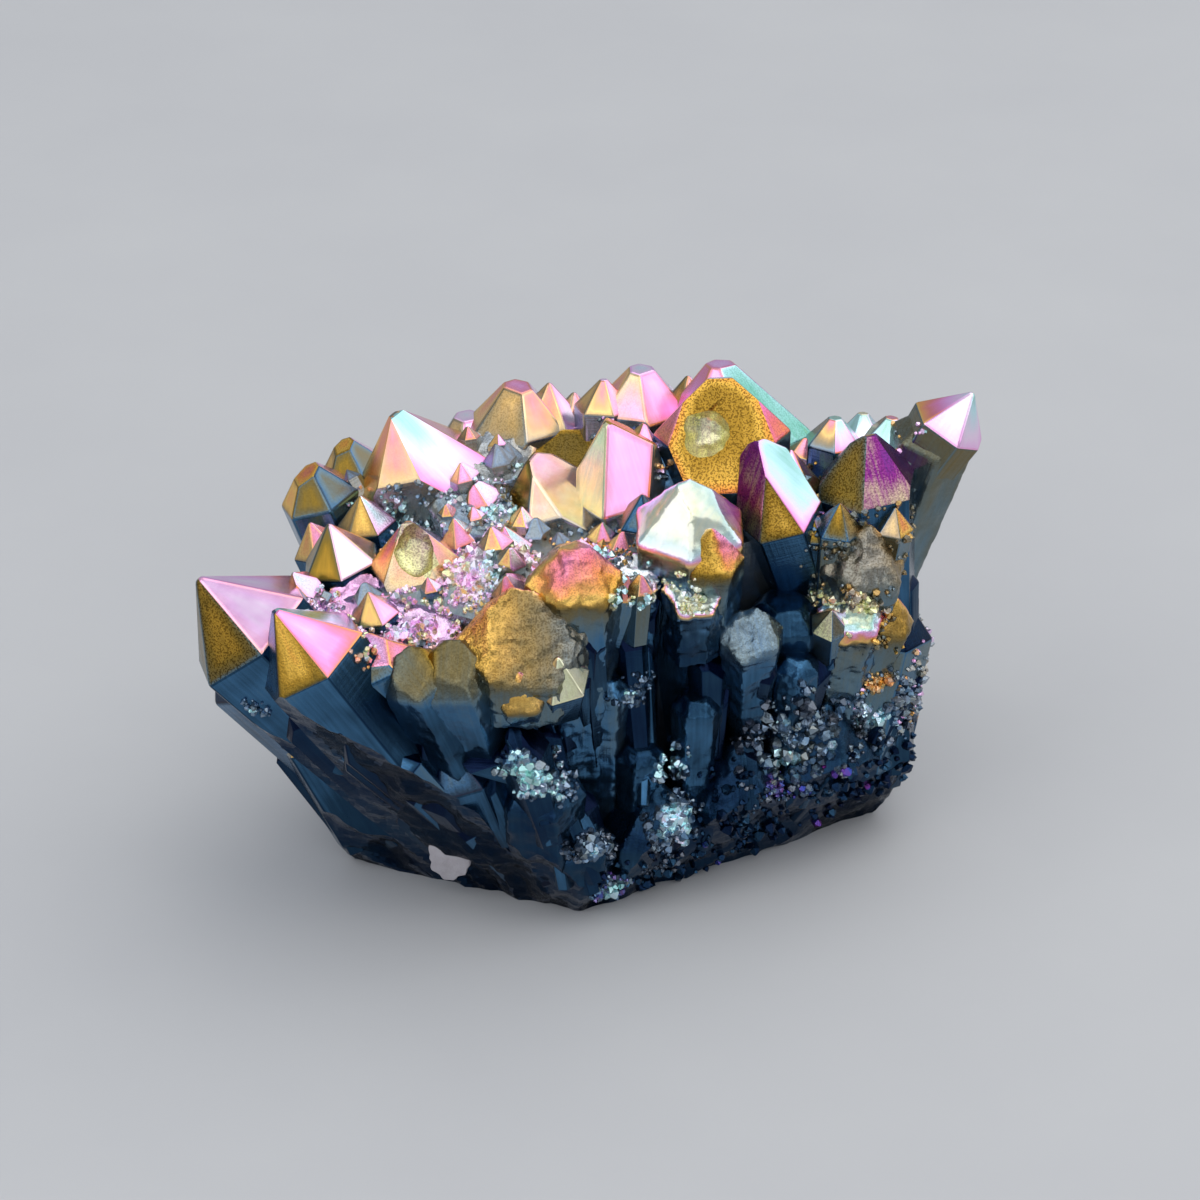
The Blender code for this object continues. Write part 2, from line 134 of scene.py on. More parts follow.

# coat values
# Every corner of a crystal carries four values, read by the coat material: film (0 to 100 along the
# colour run), painted highlight (how far the film is washed toward white), grain (how stippled) and kind (0 side,
# 0.5 point, 1 edge).
coatLook = {
    "gold": 35, "toPink": 40, "pinkSide": -15, "wander": 6,  # films of a point with none of its own
    "fall": 9, "grain": 0.15,  # of those films down a face, and their grain
    "collarReach": 3.0,  # mm below the shoulder where the lighter film has faded
    "halfWidth": 0.58,  # of the width, where a sweep across a face is complete
    "blend": 0.4,  # mm over which the faces of a worn crystal run together
    "onPlane": 0.97,  # a face that matches no plane this well is a soft edge
    "pitReach": 1.25,  # radii around a pit that belong to it
    "fringeReach": 0.04,  # of the width, over which the film changes towards an edge
    "fringeTo": (77, 86),  # films past these get a third of that change, and none
    "edgeLoss": 3,  # film lost on the soft edges
    "uvScale": 0.1,  # of the face map, per mm
}


def writeCoat(mesh, values, places):
    coat = mesh.attributes.get("coat") or mesh.attributes.new("coat", "FLOAT_COLOR", "CORNER")
    coat.data.foreach_set("color", values)
    uv = mesh.uv_layers.get("UVMap") or mesh.uv_layers.new(name="UVMap")
    uv.uv.foreach_set("vector", places)


def runFilm(azimuth, lift, rnd):
    # gold on faces to the left, pink to the right, washed greens behind
    turnedTo = 0.5 + 0.5 * math.cos(math.radians(azimuth - coatLook["pinkSide"]))
    wander = coatLook["wander"]
    return coatLook["gold"] + coatLook["toPink"] * turnedTo + rnd.uniform(-wander, wander) + 6 * lift


def crystalPlanes(spec):
    apothem = spec["width"] / 2
    shoulder = -apothem * math.tan(math.radians(faceSlope))
    narrowing = math.degrees(math.atan(apothem * (1 - spec["taper"]) / spec["length"]))
    planes = []
    for k in range(6):
        out = direction(spec["turn"] + 60 * k)
        point = out * apothem * spec["sides"][k] + Vector((0, 0, shoulder))
        planes.append(("side", k, point * mm, direction(spec["turn"] + 60 * k, -narrowing)))
    for k in range(6):
        normal = direction(spec["turn"] + 60 * k, 90 - faceSlope)
        planes.append(("tip", k, Vector((0, 0, -spec["cuts"][k])) * mm, normal))
    if spec["lop"]:
        facing, slope, depth = spec["lop"]
        planes.append(("lop", 0, Vector((0, 0, -depth)) * mm, direction(facing, 90 - slope)))
    return planes, shoulder


def coatAt(spec, films, kind, index, at, tall):
    # film, pale and grain of one plane of a crystal, at one place
    half = spec["width"] * coatLook["halfWidth"] * mm
    if kind == "lop":
        film, paintedGlare, grain, sweep = (*spec["lopFilm"], 0, 0)[:4]
        return film + sweep * at.x / half, paintedGlare, grain
    if kind == "tip":
        top, bottom, paintedGlare, grain, sweep = films[index]
        down = max(0.0, min(1.0, -at.z / tall))
        across = direction(spec["turn"] + 60 * index + 90)
        return top + (bottom - top) * down + sweep * across.dot(at) / half, paintedGlare, grain
    below = max(0.0, (-at.z - tall) / mm)
    own = (index * 7 + int(abs(spec["tip"][0]) * 13)) % 5  # no two sides quite alike
    film = spec["side"] + own + spec["collar"] * math.exp(-below / coatLook["collarReach"])
    # the sides of points on the plateau carry a painted sheen
    return film, spec["sidePale"], 0.1


def blendedCoat(spec, films, planes, at, normal, tall):
    # on a worn crystal the faces run into each other
    total, onTip, sums = 1e-9, 0.0, [0.0, 0.0, 0.0]
    for kind, k, point, planeNormal in planes:
        near = math.exp(-abs((at - point).dot(planeNormal)) / (coatLook["blend"] * mm))
        weight = near * max(0.0, normal.dot(planeNormal)) ** 3
        if weight > 0.001:
            total += weight
            onTip += weight if kind != "side" else 0.0
            for n, value in enumerate(coatAt(spec, films, kind, k, at, tall)):
                sums[n] += value * weight
    part = 0.5 if onTip > total / 2 and not spec["crusted"] else 0.0
    return (*(value / total for value in sums), part)


def inPit(spec, corners):
    if not spec["pit"]:
        return False
    centre, size = spec["pit"]
    return all((corner / mm - Vector(centre)).length < size * coatLook["pitReach"] for corner in corners)


def coatCrystal(obj, spec, planes, shoulder, rnd):
    # writes the coat and a face map in mm, while the crystal still stands at the origin
    mesh = obj.data
    films = []
    for k in range(6):
        azimuth = spec["turn"] + 60 * k
        base = runFilm(azimuth, spec["lean"][1] / 60, rnd)
        # painted highlight: faces turned towards the key light, at azimuth 20 degrees, are washed paler
        washed = 0.25 + 0.35 * max(0.0, math.cos(math.radians(azimuth - 20)))
        usual = spec["plain"] or (base, base - coatLook["fall"], washed * spec["washed"], coatLook["grain"])
        films.append((*spec["films"].get(k, usual), 0, 0, 0)[:5])
    tall = -shoulder * mm
    reach = coatLook["fringeReach"] * spec["width"] * mm
    fringeTo, fringeEnd = coatLook["fringeTo"]
    uvScale = coatLook["uvScale"]
    worn = []
    if spec["rough"]:
        worn = [blendedCoat(spec, films, planes, vertex.co, vertex.normal, tall) for vertex in mesh.vertices]
    values, places = [], []
    corners = [vertex.co for vertex in mesh.vertices]
    for face in mesh.polygons:
        centre, normal = face.center, face.normal
        best, kind, index = -9.0, "side", 0
        for planeKind, k, point, planeNormal in planes:
            score = normal.dot(planeNormal) - abs((centre - point).dot(planeNormal)) / (0.6 * mm)
            if score > best:
                best, kind, index = score, planeKind, k
        index = 0 if worn else index
        across = direction(spec["turn"] + 60 * index + 90)
        chipped = inPit(spec, [corners[vertex] for vertex in face.vertices])
        onEdge = 0.0 if best > coatLook["onPlane"] else 1.0
        part = 0.5 if kind != "side" and not spec["crusted"] else 0.0
        for vertex in face.vertices:
            at = corners[vertex]
            if chipped:
                values.extend((spec["pitFilm"][0] / 100, *spec["pitFilm"][1:], 0.5))
            elif worn:
                film, *rest = worn[vertex]
                values.extend((max(0.0, film) / 100, *rest))
            else:
                film, paintedGlare, grain = coatAt(spec, films, kind, index, at, tall)
                if kind != "side":
                    # the film thins towards the edges of a face
                    gaps = sorted(abs((at - point).dot(planeNormal)) for _, _, point, planeNormal in planes)
                    share = 1.0 if film < fringeTo else 0.35 if film < fringeEnd else 0.0
                    film -= spec["fringe"] * math.exp(-gaps[1] / reach) * share
                thinner = coatLook["edgeLoss"] * onEdge if film < fringeTo else 0.0
                values.extend((max(0.0, film - thinner) / 100, paintedGlare, grain, onEdge or part))
            along = at.z / mm * uvScale + spec["turn"] * 0.013
            places.extend((across.dot(at) / mm * uvScale + index * 1.37, along))
    writeCoat(mesh, values, places)


def placeOf(spec):
    turn = zUp.rotation_difference(direction(spec["lean"][0], 90 - spec["lean"][1])).to_matrix().to_4x4()
    return Matrix.Translation((Vector(spec["tip"]) + middle) * mm) @ turn


def growCrystal(spec, rnd):
    # a tapered six-sided column, six cuts for its point, soft edges
    planes, shoulder = crystalPlanes(spec)
    widest = max(spec["sides"])
    radius = spec["width"] / 2 / math.cos(math.radians(30)) * mm
    rise = crystalLook["rise"]
    swell = 1 + (1 - spec["taper"]) * (rise - shoulder) / spec["length"]
    foot = radius * (1 - (1 - spec["taper"]) * (spec["length"] + shoulder) / spec["length"])
    bpy.ops.mesh.primitive_cone_add(
        vertices=6, radius1=foot * widest, radius2=radius * swell * widest, depth=(spec["length"] + rise) * mm,
        location=(0, 0, (rise - spec["length"]) / 2 * mm), rotation=(0, 0, math.radians(spec["turn"])),
    )
    obj = bpy.context.object
    obj.name = "crystal" + spec["name"]
    bpy.ops.object.transform_apply(location=True, rotation=True)
    mode("EDIT")
    for kind, k, point, normal in planes:
        if kind != "side" or spec["sides"][k] < widest:
            cutAway(point, normal)
    if not spec["lop"]:
        mode("OBJECT")
        apex = max(vertex.co.z for vertex in obj.data.vertices)
        mode("EDIT")
        cutAway(Vector((0, 0, apex - spec["blunt"] * spec["width"] * mm)), zUp)
    if not spec["rough"]:
        bpy.ops.mesh.select_all(action="SELECT")
        share, most = crystalLook["soft"]
        soft = min(most, share * spec["width"]) * mm
        bpy.ops.mesh.bevel(offset=soft, segments=2, affect="EDGES", clamp_overlap=True)
    mode("OBJECT")
    if not spec["rough"] and not spec["crusted"]:
        ringPoint(spec, planes)
    if spec["rough"]:
        roughen(obj, spec)
    if spec["pit"]:
        chipOut(obj, spec)
    coatCrystal(obj, spec, planes, shoulder, rnd)
    obj.data.transform(placeOf(spec))
    return obj


def ringPoint(spec, planes):
    # lines just inside every edge of the point, so that the film can change towards the edges
    mode("EDIT")
    for _, _, point, normal in planes:
        for depth in crystalLook["rings"]:
            bpy.ops.mesh.select_all(action="SELECT")
            at = point - normal * depth * spec["width"] * mm
            bpy.ops.mesh.bisect(plane_co=at, plane_no=normal, threshold=1e-7)
    mode("OBJECT")


def roughen(obj, spec):
    # remeshed finely, then pushed in and out by two clouds
    share, least = crystalLook["voxel"]
    addRemesh(obj, max(least, spec["width"] * share))
    for size, strength in crystalLook["clouds"]:
        cloud = bpy.data.textures.new("cloud" + spec["name"], spec["cloud"] if size > 1 else "CLOUDS")
        cloud.noise_scale = size * mm
        push = obj.modifiers.new("Push", "DISPLACE")
        push.texture = cloud
        push.texture_coords = "LOCAL"
        push.strength = spec["rough"] * strength * mm
        push.mid_level = 0.5
    applyAll(obj)


def chipOut(obj, spec):
    # a shell-shaped break, stepped in rings
    centre, size = spec["pit"]
    uneven, rings = crystalLook["shell"]
    bpy.ops.mesh.primitive_uv_sphere_add(segments=40, ring_count=24, radius=size * mm, location=(0, 0, 0))
    ball = bpy.context.object
    for vertex in ball.data.vertices:
        away = vertex.co.length
        ring = math.sin(vertex.co.z / mm * 9 + vertex.co.x / mm * 4)
        lump = uneven * noise.noise(vertex.co / mm * 0.7 + Vector(centre))
        vertex.co *= 1 + lump + rings * ring * size * mm / away
    ball.data.transform(Matrix.Translation([value * mm for value in centre]))
    boolean(obj, "DIFFERENCE", ball)
    bpy.data.objects.remove(ball)


def fuse(name, solids):
    # one closed solid from overlapping ones
    first, others = solids[0], bpy.data.collections.new(name + "Solids")
    bpy.context.scene.collection.children.link(others)
    for solid in solids[1:]:
        for old in list(solid.users_collection):
            old.objects.unlink(solid)
        others.objects.link(solid)
    first.name = name
    boolean(first, "UNION", others)
    for solid in list(others.objects):
        bpy.data.objects.remove(solid)
    bpy.data.collections.remove(others)
    pick(first)
    bpy.ops.object.shade_smooth_by_angle(angle=math.radians(24))
    print(name, "faces", len(first.data.polygons))
    return first


def growGroup(name, rows, extra=()):
    rnd = random.Random(name)
    solids = list(extra)
    for spec in rows:
        # painted sheen on the sides of the points up on the plateau, washed paler as if lit
        inside = name in ("topPoints", "crusts", "smallPoints") and spec["tip"][1] > -5
        spec["sidePale"] = plateauPaintedSheen if inside else 0.0
        solids.append(growCrystal(spec, rnd))
    return fuse(name, solids)


# crystals
# tip (x, y, z), width and length in mm; lean (towards, by) and turn in degrees
# films: face number: (film at the tip, film at the shoulder, painted highlight washing the film toward white,
# grain, change across the face)
# lop: the way a broken top faces, its slope in degrees, mm below the tip; pit: its middle and radius in mm
def crystal(name, tip, width, lean, turn, length, films={}, like={}, **more):
    spec = {"name": name, "tip": tip, "width": width, "lean": lean, "turn": turn, "length": length, "films": films}
    spec.update({"taper": 0.6, "cuts": (0,) * 6, "sides": (1,) * 6, "blunt": 0.04, "lop": None, "pit": None})
    spec.update({"rough": 0.0, "cloud": "VORONOI", "crusted": False, "side": 6, "collar": 3, "plain": None})
    # the first value scales the painted highlight on faces turned towards the key light
    spec.update({"washed": 1.0, "fringe": 12})
    return {**spec, **like, **more}


low = {"taper": 0.7}
crust = {"taper": 0.9, "crusted": True}
flank = {"taper": 0.8, "plain": (9, 6, 0, 0.3)}
stub = {"taper": 0.9, "crusted": True, "plain": (6, 3, 0, 0.3), "side": 4, "rough": 0.3}
nub = {"taper": 0.7, "blunt": 0.35, "plain": (8, 5, 0, 0.2), "rough": 0.25, "cloud": "CLOUDS"}

crystals = {}
crystals["leftPoints"] = [
    crystal("A", (-24.1, -6, 23), 8, (180, 40), -103, 30,
            {0: (38, 29, 0, 0.9), 1: (71, 66, 0.55, 0, 2), 2: (76, 66, 0.4, 0, -6), 5: (29, 26, 0, 0.5)}),
    crystal("B", (-19.2, -10, 23.1), 6.8, (182, 33), -98, 28,
            {0: (48, 36, 0, 0.4), 1: (70, 61, 0.1, 0, -4), 2: (82, 74, 0.2), 5: (19, 14, 0, 0.3)},
            cuts=(0, 0, 0, 0, 0, 0.3)),
    crystal("C", (-16.2, -1, 24), 4.6, (180, 14), -116, 24,
            {0: (33, 37), 1: (71, 69, 0.8), 2: (72, 42, 0.8), 5: (35, 30)}),
    crystal("D", (-11.2, -2.5, 25.1), 5.2, (200, 8), -95, 24,
            {0: (66, 43, 0.6, 0.2), 1: (68, 44, 0.5, 0.1), 5: (66, 42, 0.1, 0.2)}, cuts=(0.4, 0, 0, 0, 0, 0),
            pit=((0.5, -1.8, -1.1), 1.75), pitFilm=(88, 0.15, 0.5)),
    crystal("V", (-13.5, -6.5, 22.2), 2.8, (190, 14), -40, 18, {0: (64, 68, 0.4), 5: (44, 42, 0.2)}),
    crystal("X9", (-14.4, 2.6, 24), 3.4, (190, 10), -95, 12, {0: (44, 36, 0.1, 0.2)}, low),
    crystal("X10", (-17.6, 2, 22.4), 3.2, (185, 18), -70, 12, {}, low),
    crystal("F0", (-18.1, 6, 24.9), 4.8, (175, 18), -100, 26,
            {0: (33, 28, 0, 0.2), 1: (22, 20, 0.05, 0.1), 5: (47, 44, 0, 0.1)}, lop=(-150, 20, 1),
            lopFilm=(50, 0, 0.3), side=12),
    crystal("F1", (-15.9, 9, 25.1), 4, (160, 18), -100, 26,
            {0: (33, 30, 0, 0.2), 1: (26, 24, 0.1), 5: (40, 36, 0, 0.1)}, lop=(-120, 20, 0.8), lopFilm=(44, 0, 0.3),
            side=12),
    crystal("FA", (-23.5, -2.5, 17.6), 6.4, (180, 40), -75, 24, {5: (14, 10, 0, 0.2)}, taper=0.7, side=10),
    crystal("FL", (-18.6, -2.5, 14), 6.4, (180, 25), -95, 20, taper=0.9),
    crystal("BK11", (-20.6, 4, 14.6), 4.4, (165, 34), 20, 18),
]
crystals["frontPoints"] = [
    crystal("S1", (-14, -10, 21.4), 4.2, (200, 24), -80, 22,
            {0: (42, 22, 0, 0.4), 1: (62, 58, 0.2, 0.2), 5: (26, 20, 0, 0.3)}, lop=(-60, 26, 1.2),
            lopFilm=(66, 0.4, 0.3), side=10),
    crystal("S2", (-11.2, -11.5, 21.4), 4.4, (210, 22), -60, 14, {0: (40, 22, 0, 0.3), 1: (44, 24, 0, 0.3)},
            taper=0.8, lop=(-90, 30, 1.3), lopFilm=(22, 0, 0.3), rough=0.16, side=8, plain=(22, 18, 0, 0.3)),
    crystal("S3", (-8.6, -11.8, 22), 5, (235, 20), -100, 11, {0: (24, 18, 0, 0.3), 5: (42, 22, 0, 0.3)}, taper=0.8,
            lop=(-70, 28, 1.3), lopFilm=(23, 0, 0.3, 3), rough=0.16, side=9, plain=(23, 18, 0, 0.3)),
    crystal("R", (-4, -10.5, 25.2), 7.4, (265, 10), -88, 9,
            {0: (28, 20, 0.1, 0.6), 1: (19, 18, 0.35, 0.5), 4: (44, 40, 0.1, 0.7), 5: (50, 38, 0.05, 0.9)},
            taper=0.8, lop=(-80, 38, 2.5), lopFilm=(30, 0.12, 0.6, -15), rough=0.6, cloud="CLOUDS", side=14),
    crystal("R2", (-1.8, -12, 20.8), 3.6, (270, 22), -70, 5,
            {0: (88, 88, 0.6, 0.1), 1: (88, 88, 0.9), 5: (46, 40, 0.3, 0.2)}),
    crystal("R3", (-4.2, -12.8, 20.2), 3.4, (262, 26), -85, 4,
            {0: (46, 34, 0.1, 0.3), 1: (42, 36, 0.2, 0.3), 5: (38, 34, 0.1, 0.3)}, rough=0.25),
    crystal("Q", (-0.8, -8, 27), 5.4, (270, 8), -80, 26,
            {0: (58, 44, 0.15, 0.4), 1: (54, 42, 0, 0.5), 5: (60, 48, 0.1, 0.4)}, blunt=0.2, rough=0.35, side=12,
            collar=8),
    crystal("P", (6.3, -3.5, 28.8), 6.6, (270, 8), -120, 26,
            {0: (88, 88, 1.4), 1: (88, 88, 1, 0.05), 2: (70, 66, 0.6, 0.1), 5: (88, 87, 0.8, 0.1)},
            lop=(-30, 28, 1.3), lopFilm=(88, 1), rough=0.12, side=11),
    crystal("P2", (7.6, -5.5, 26.1), 3.8, (275, 14), -90, 24,
            {0: (34, 38, 0, 0.8), 1: (60, 52, 0.1, 0.3), 5: (30, 32, 0, 0.8)}, rough=0.2, side=13),
    crystal("U1", (1.2, -7.4, 17.4), 2.6, (270, 8), -95, 14, {0: (20, 12, 0, 0.2)}, nub, taper=0.6, side=12),
    crystal("U2", (3.3, -7.6, 12.6), 2.8, (280, 10), -70, 12,
            {0: (8, 6, 0, 0.2), 1: (12, 8, 0, 0.2), 5: (6, 4, 0, 0.2)}, nub),
    crystal("U3", (6.9, -6.2, 15.6), 3, (280, 8), -85, 14,
            {0: (10, 8, 0, 0.2), 1: (14, 8, 0, 0.2), 5: (6, 4, 0, 0.2)}, nub),
    crystal("LEAF", (10.2, -6, 21), 3.8, (275, 12), -75, 12,
            {0: (17, 18, 0.08, 0.3), 1: (14, 18, 0.15, 0.2), 4: (14, 19, 0.2), 5: (17, 18, 0.08, 0.3)}, taper=0.3,
            lop=(-110, 40, 1.5), lopFilm=(16, 0.15, 0.3), rough=0.32, side=7, collar=7, plain=(16, 17, 0.08, 0.2)),
    crystal("FD", (-3.2, -10.4, 13.2), 5.2, (255, 10), -100, 16,
            {0: (8, 4, 0, 0.3), 1: (12, 6, 0, 0.3), 5: (10, 5, 0, 0.3)}, stub, taper=0.8),
    crystal("FE", (-0.6, -9.6, 8.4), 4.2, (265, 6), -80, 12, {1: (10, 5, 0, 0.3), 5: (8, 4, 0, 0.3)}, stub),
]
crystals["frontFlank"] = [
    crystal("FB", (-15, -9.6, 16.5), 5.6, (196, 34), -100, 24, {}, flank),
    crystal("FB2", (-16.6, -12, 17), 2.6, (192, 36), -88, 20, {0: (16, 10, 0, 0.2), 1: (18, 12, 0, 0.2)}, flank,
            side=7),
    crystal("FB3", (-12.4, -12.4, 14.4), 2.8, (204, 34), -110, 18, {0: (14, 8, 0, 0.2), 1: (18, 12, 0, 0.2)}, flank,
            side=8),
    crystal("FB4", (-8.8, -12.6, 10.6), 2.8, (220, 30), -95, 14, {}, flank, rough=0.15, side=5,
            plain=(7, 5, 0, 0.2)),
    crystal("FC", (-9, -10.6, 14.6), 5.2, (225, 22), -85, 20,
            {0: (17, 13, 0.05, 0.3), 1: (18, 12, 0, 0.3), 5: (16, 10, 0, 0.3)}, flank),
    crystal("FF", (4.4, -7.6, 9.2), 6, (290, 8), -100, 12, {1: (9, 5, 0, 0.3), 5: (7, 3, 0, 0.3)}, stub),
    crystal("FG", (9.6, -5.4, 11), 6.6, (295, 10), -80, 14, {1: (9, 5, 0, 0.3), 5: (7, 3, 0, 0.3)}, stub),
    crystal("FH", (15.2, -2.2, 12), 7.2, (300, 12), -95, 15,
            {0: (7, 3, 0, 0.3), 1: (10, 5, 0, 0.3), 5: (8, 3, 0, 0.3)}, stub),
    crystal("U5", (12.4, -2.2, 20.6), 4.6, (280, 6), -85, 18, {0: (12, 7, 0, 0.2)}, blunt=0.35, rough=0.25,
            plain=(9, 6, 0, 0.2)),
    crystal("U4", (13.2, -4.4, 17.2), 2.8, (290, 10), -60, 14, {0: (12, 8, 0, 0.3), 5: (16, 10, 0, 0.3)}, nub),
]
crystals["topPoints"] = [
    crystal("E", (-12.3, 6, 28.5), 8.4, (180, 19), -103, 28,
            {0: (66, 42, 0.5, 0.05, -3), 1: (83, 67, 0.05), 2: (74, 44, 0.6), 5: (60, 42, 0.1)},
            cuts=(0, 0.6, 0, 0, 0, 0), sides=(0.72, 1, 1.25, 0.95, 0.95, 0.95), side=13),
    crystal("E2", (-8, 10.5, 26.6), 6.6, (140, 10), -70, 26, lop=(-60, 8, 1), lopFilm=(74, 0.8), washed=1.6),
    crystal("G", (-4.6, 10, 29.1), 6, (90, 6), -112, 28,
            {0: (44, 32, 0.2, 0.4), 1: (66, 44, 0.6), 5: (62, 40, 0.3, 0.1)}, cuts=(0.3, 0, 0, 0, 0, 0),
            lop=(-70, 12, 1.1), lopFilm=(62, 0.3)),
    crystal("G2", (-2.5, 10.6, 28), 4.4, (80, 8), -90, 26, {0: (60, 40, 0.4, 0.1), 1: (66, 70, 0.6)}),
    crystal("G3", (-0.9, 11, 27.1), 4.4, (70, 8), -70, 26, {0: (66, 42, 0.5, 0.1), 5: (42, 40, 0.4)}),
    crystal("H2", (1, 9, 29.2), 3.4, (90, 6), -100, 28, {0: (66, 42, 0.3), 1: (70, 68, 0.6)}, lop=(0, 0, 0.3),
            lopFilm=(76, 0.7)),
    crystal("H", (3.4, 10, 30.2), 5.6, (90, 8), -110, 28,
            {0: (43, 62, 0.6, 0.1, 6), 1: (76, 60, 0.3), 5: (44, 60, 0.3)}, cuts=(0, 0.3, 0, 0, 0, 0),
            lop=(-60, 10, 1), lopFilm=(76, 0.4)),
    crystal("H3", (5.1, 11, 27.7), 4.2, (80, 8), -95, 27, {0: (64, 70, 0.5)}),
    crystal("I", (0.6, 1.9, 29.25), 5.4, (215, 20), -84, 28,
            {0: (71, 65, 0.35, 0, -3), 1: (66, 66, 0.1), 2: (46, 47), 5: (88, 87, 0.45, 0.1)},
            cuts=(1.9, -2.1, -0.6, -2, 0.4, 1.9), side=12),
    crystal("K", (-1.3, 7, 27.3), 4.8, (90, 2), -95, 28,
            {0: (13, 15, 0, 0.9), 1: (42, 38, 0.3, 0.2), 5: (42, 40, 0.2, 0.2)}, lop=(-105, 24, 2.1),
            lopFilm=(26, 0, 0.7), fringe=-14),
    crystal("J", (-3.3, 3.4, 27.2), 6.2, (180, 15), -86, 26,
            {0: (68, 44, 0.8, 0.05, 2), 1: (66, 44, 0.85, 0.05), 5: (40, 28, 0, 0.1)}, cuts=(0, 1.5, 0, 0, 0, 0),
            side=12),
    crystal("X1", (-7.4, 3.2, 24.2), 2.6, (150, 12), -100, 10, {}, low),
    crystal("X2", (-8.4, -0.4, 24), 2.4, (200, 14), -70, 10, {}, low),
    crystal("X3", (-5.2, -1.8, 24.2), 2.8, (230, 10), -85, 10, {}, low),
    crystal("X4", (3.4, 0.2, 25.4), 3.2, (260, 8), -110, 12, {0: (20, 16, 0, 0.3), 1: (18, 22, 0.1, 0.2)}, low),
    crystal("X5", (-6.4, 6.8, 25.2), 3.4, (120, 8), -75, 12, {0: (14, 18, 0.1, 0.2)}, low),
    crystal("X6", (4.8, 4.4, 26.4), 3.4, (80, 4), -95, 12, {0: (18, 14, 0.05, 0.3)}, low),
    crystal("X11", (-10.8, 9.6, 24.6), 3.4, (120, 10), -80, 12, {}, low),
]
crystals["rightPoints"] = [
    crystal("L2", (8.3, 9, 31.2), 9.4, (150, 8), -100, 28,
            {0: (66, 70, 0.3, 0.1), 1: (80, 82, 0, 0.2, 2), 2: (66, 84, 0.2), 5: (64, 60, 0.3)},
            cuts=(0, 0.4, 0.2, 0, 0, 0), lop=(30, 10, 1.2), lopFilm=(70, 0.3)),
    crystal("L3", (6.4, 10, 28.8), 4.4, (95, 6), -75, 27, {0: (60, 66, 0.3), 5: (40, 30, 0.1, 0.2)}),
    crystal("L", (8.2, 4.6, 32.2), 7.6, (180, 3), -92, 28,
            {0: (29, 33, 0, 0.9), 1: (60, 42, 0, 0.3, -6), 2: (82, 80, 0.1), 5: (52, 40, 0.2, 0.4)},
            cuts=(2.6, 0, 0, 0, 0, 0), lop=(90, 10, 1.3), lopFilm=(64, 0.3), pit=((-1, -1.6, -4), 1.5),
            pitFilm=(88, 0.3, 0.4), side=12, fringe=-15),
    crystal("M", (10.4, -1.5, 29.4), 5, (225, 22), -88, 30,
            {0: (32, 36, 0, 0.8, 9), 1: (68, 73, 0.1, 0, 9), 2: (80, 78, 0.1), 5: (93, 91, 0, 0.5)},
            cuts=(2.6, 2.6, -0.4, -1.5, -1.5, 2.5), side=10),
    crystal("N", (17.2, 2.4, 29.3), 5.8, (150, 5), -70, 28,
            {0: (94, 92, 0, 0.4), 1: (96, 93, 0, 0.3), 5: (26, 30, 0, 0.9)}, cuts=(1, 0.3, 0, 0.8, 0.4, 1.2)),
    crystal("X7", (12.8, 3.6, 26.8), 4, (60, 6), -80, 14, {0: (78, 60, 0.3), 1: (66, 44, 0.3)}, low),
    crystal("X8", (13.8, 8.6, 25.8), 3.6, (60, 10), -60, 14, {}, low),
    crystal("X12", (13.9, -0.6, 24.8), 2.8, (290, 10), -90, 12, {0: (44, 30, 0, 0.4)}, low),
    crystal("W1", (15.7, 6, 28.2), 3.4, (60, 6), -60, 28, {0: (84, 66, 0.4), 5: (78, 20, 0.3)}, lop=(0, 0, 0.5),
            lopFilm=(84, 0.5)),
    crystal("W2", (19.4, 7, 27.7), 3.6, (40, 10), -60, 28, {0: (90, 40, 0.5), 5: (86, 78, 0.4)}, lop=(0, 0, 0.5),
            lopFilm=(60, 0.4)),
    crystal("W3", (17.6, 8.2, 27.3), 3.8, (70, 8), -80, 26, {0: (90, 64, 0.6), 5: (84, 76, 0.4)}, lop=(0, 0, 0.4),
            lopFilm=(90, 0.6)),
    crystal("W4", (20.9, 8, 26.9), 3.4, (45, 14), -75, 24, {0: (44, 90, 0.4), 5: (64, 40, 0.2)}),
    crystal("O", (24.3, 5, 30.1), 4.6, (0, 30), -112, 14,
            {0: (76, 66, 0.4), 1: (80, 66, 0.4), 2: (78, 66, 0.3), 5: (79, 46, 0.2)}, sides=(1, 1, 0.8, 1, 1, 1),
            side=18, fringe=4),
    crystal("O2", (22.7, 5.2, 29.4), 4.8, (0, 18), -112, 28, taper=0.8, rough=0.12, side=16,
            plain=(21, 20, 0, 0.4)),
]
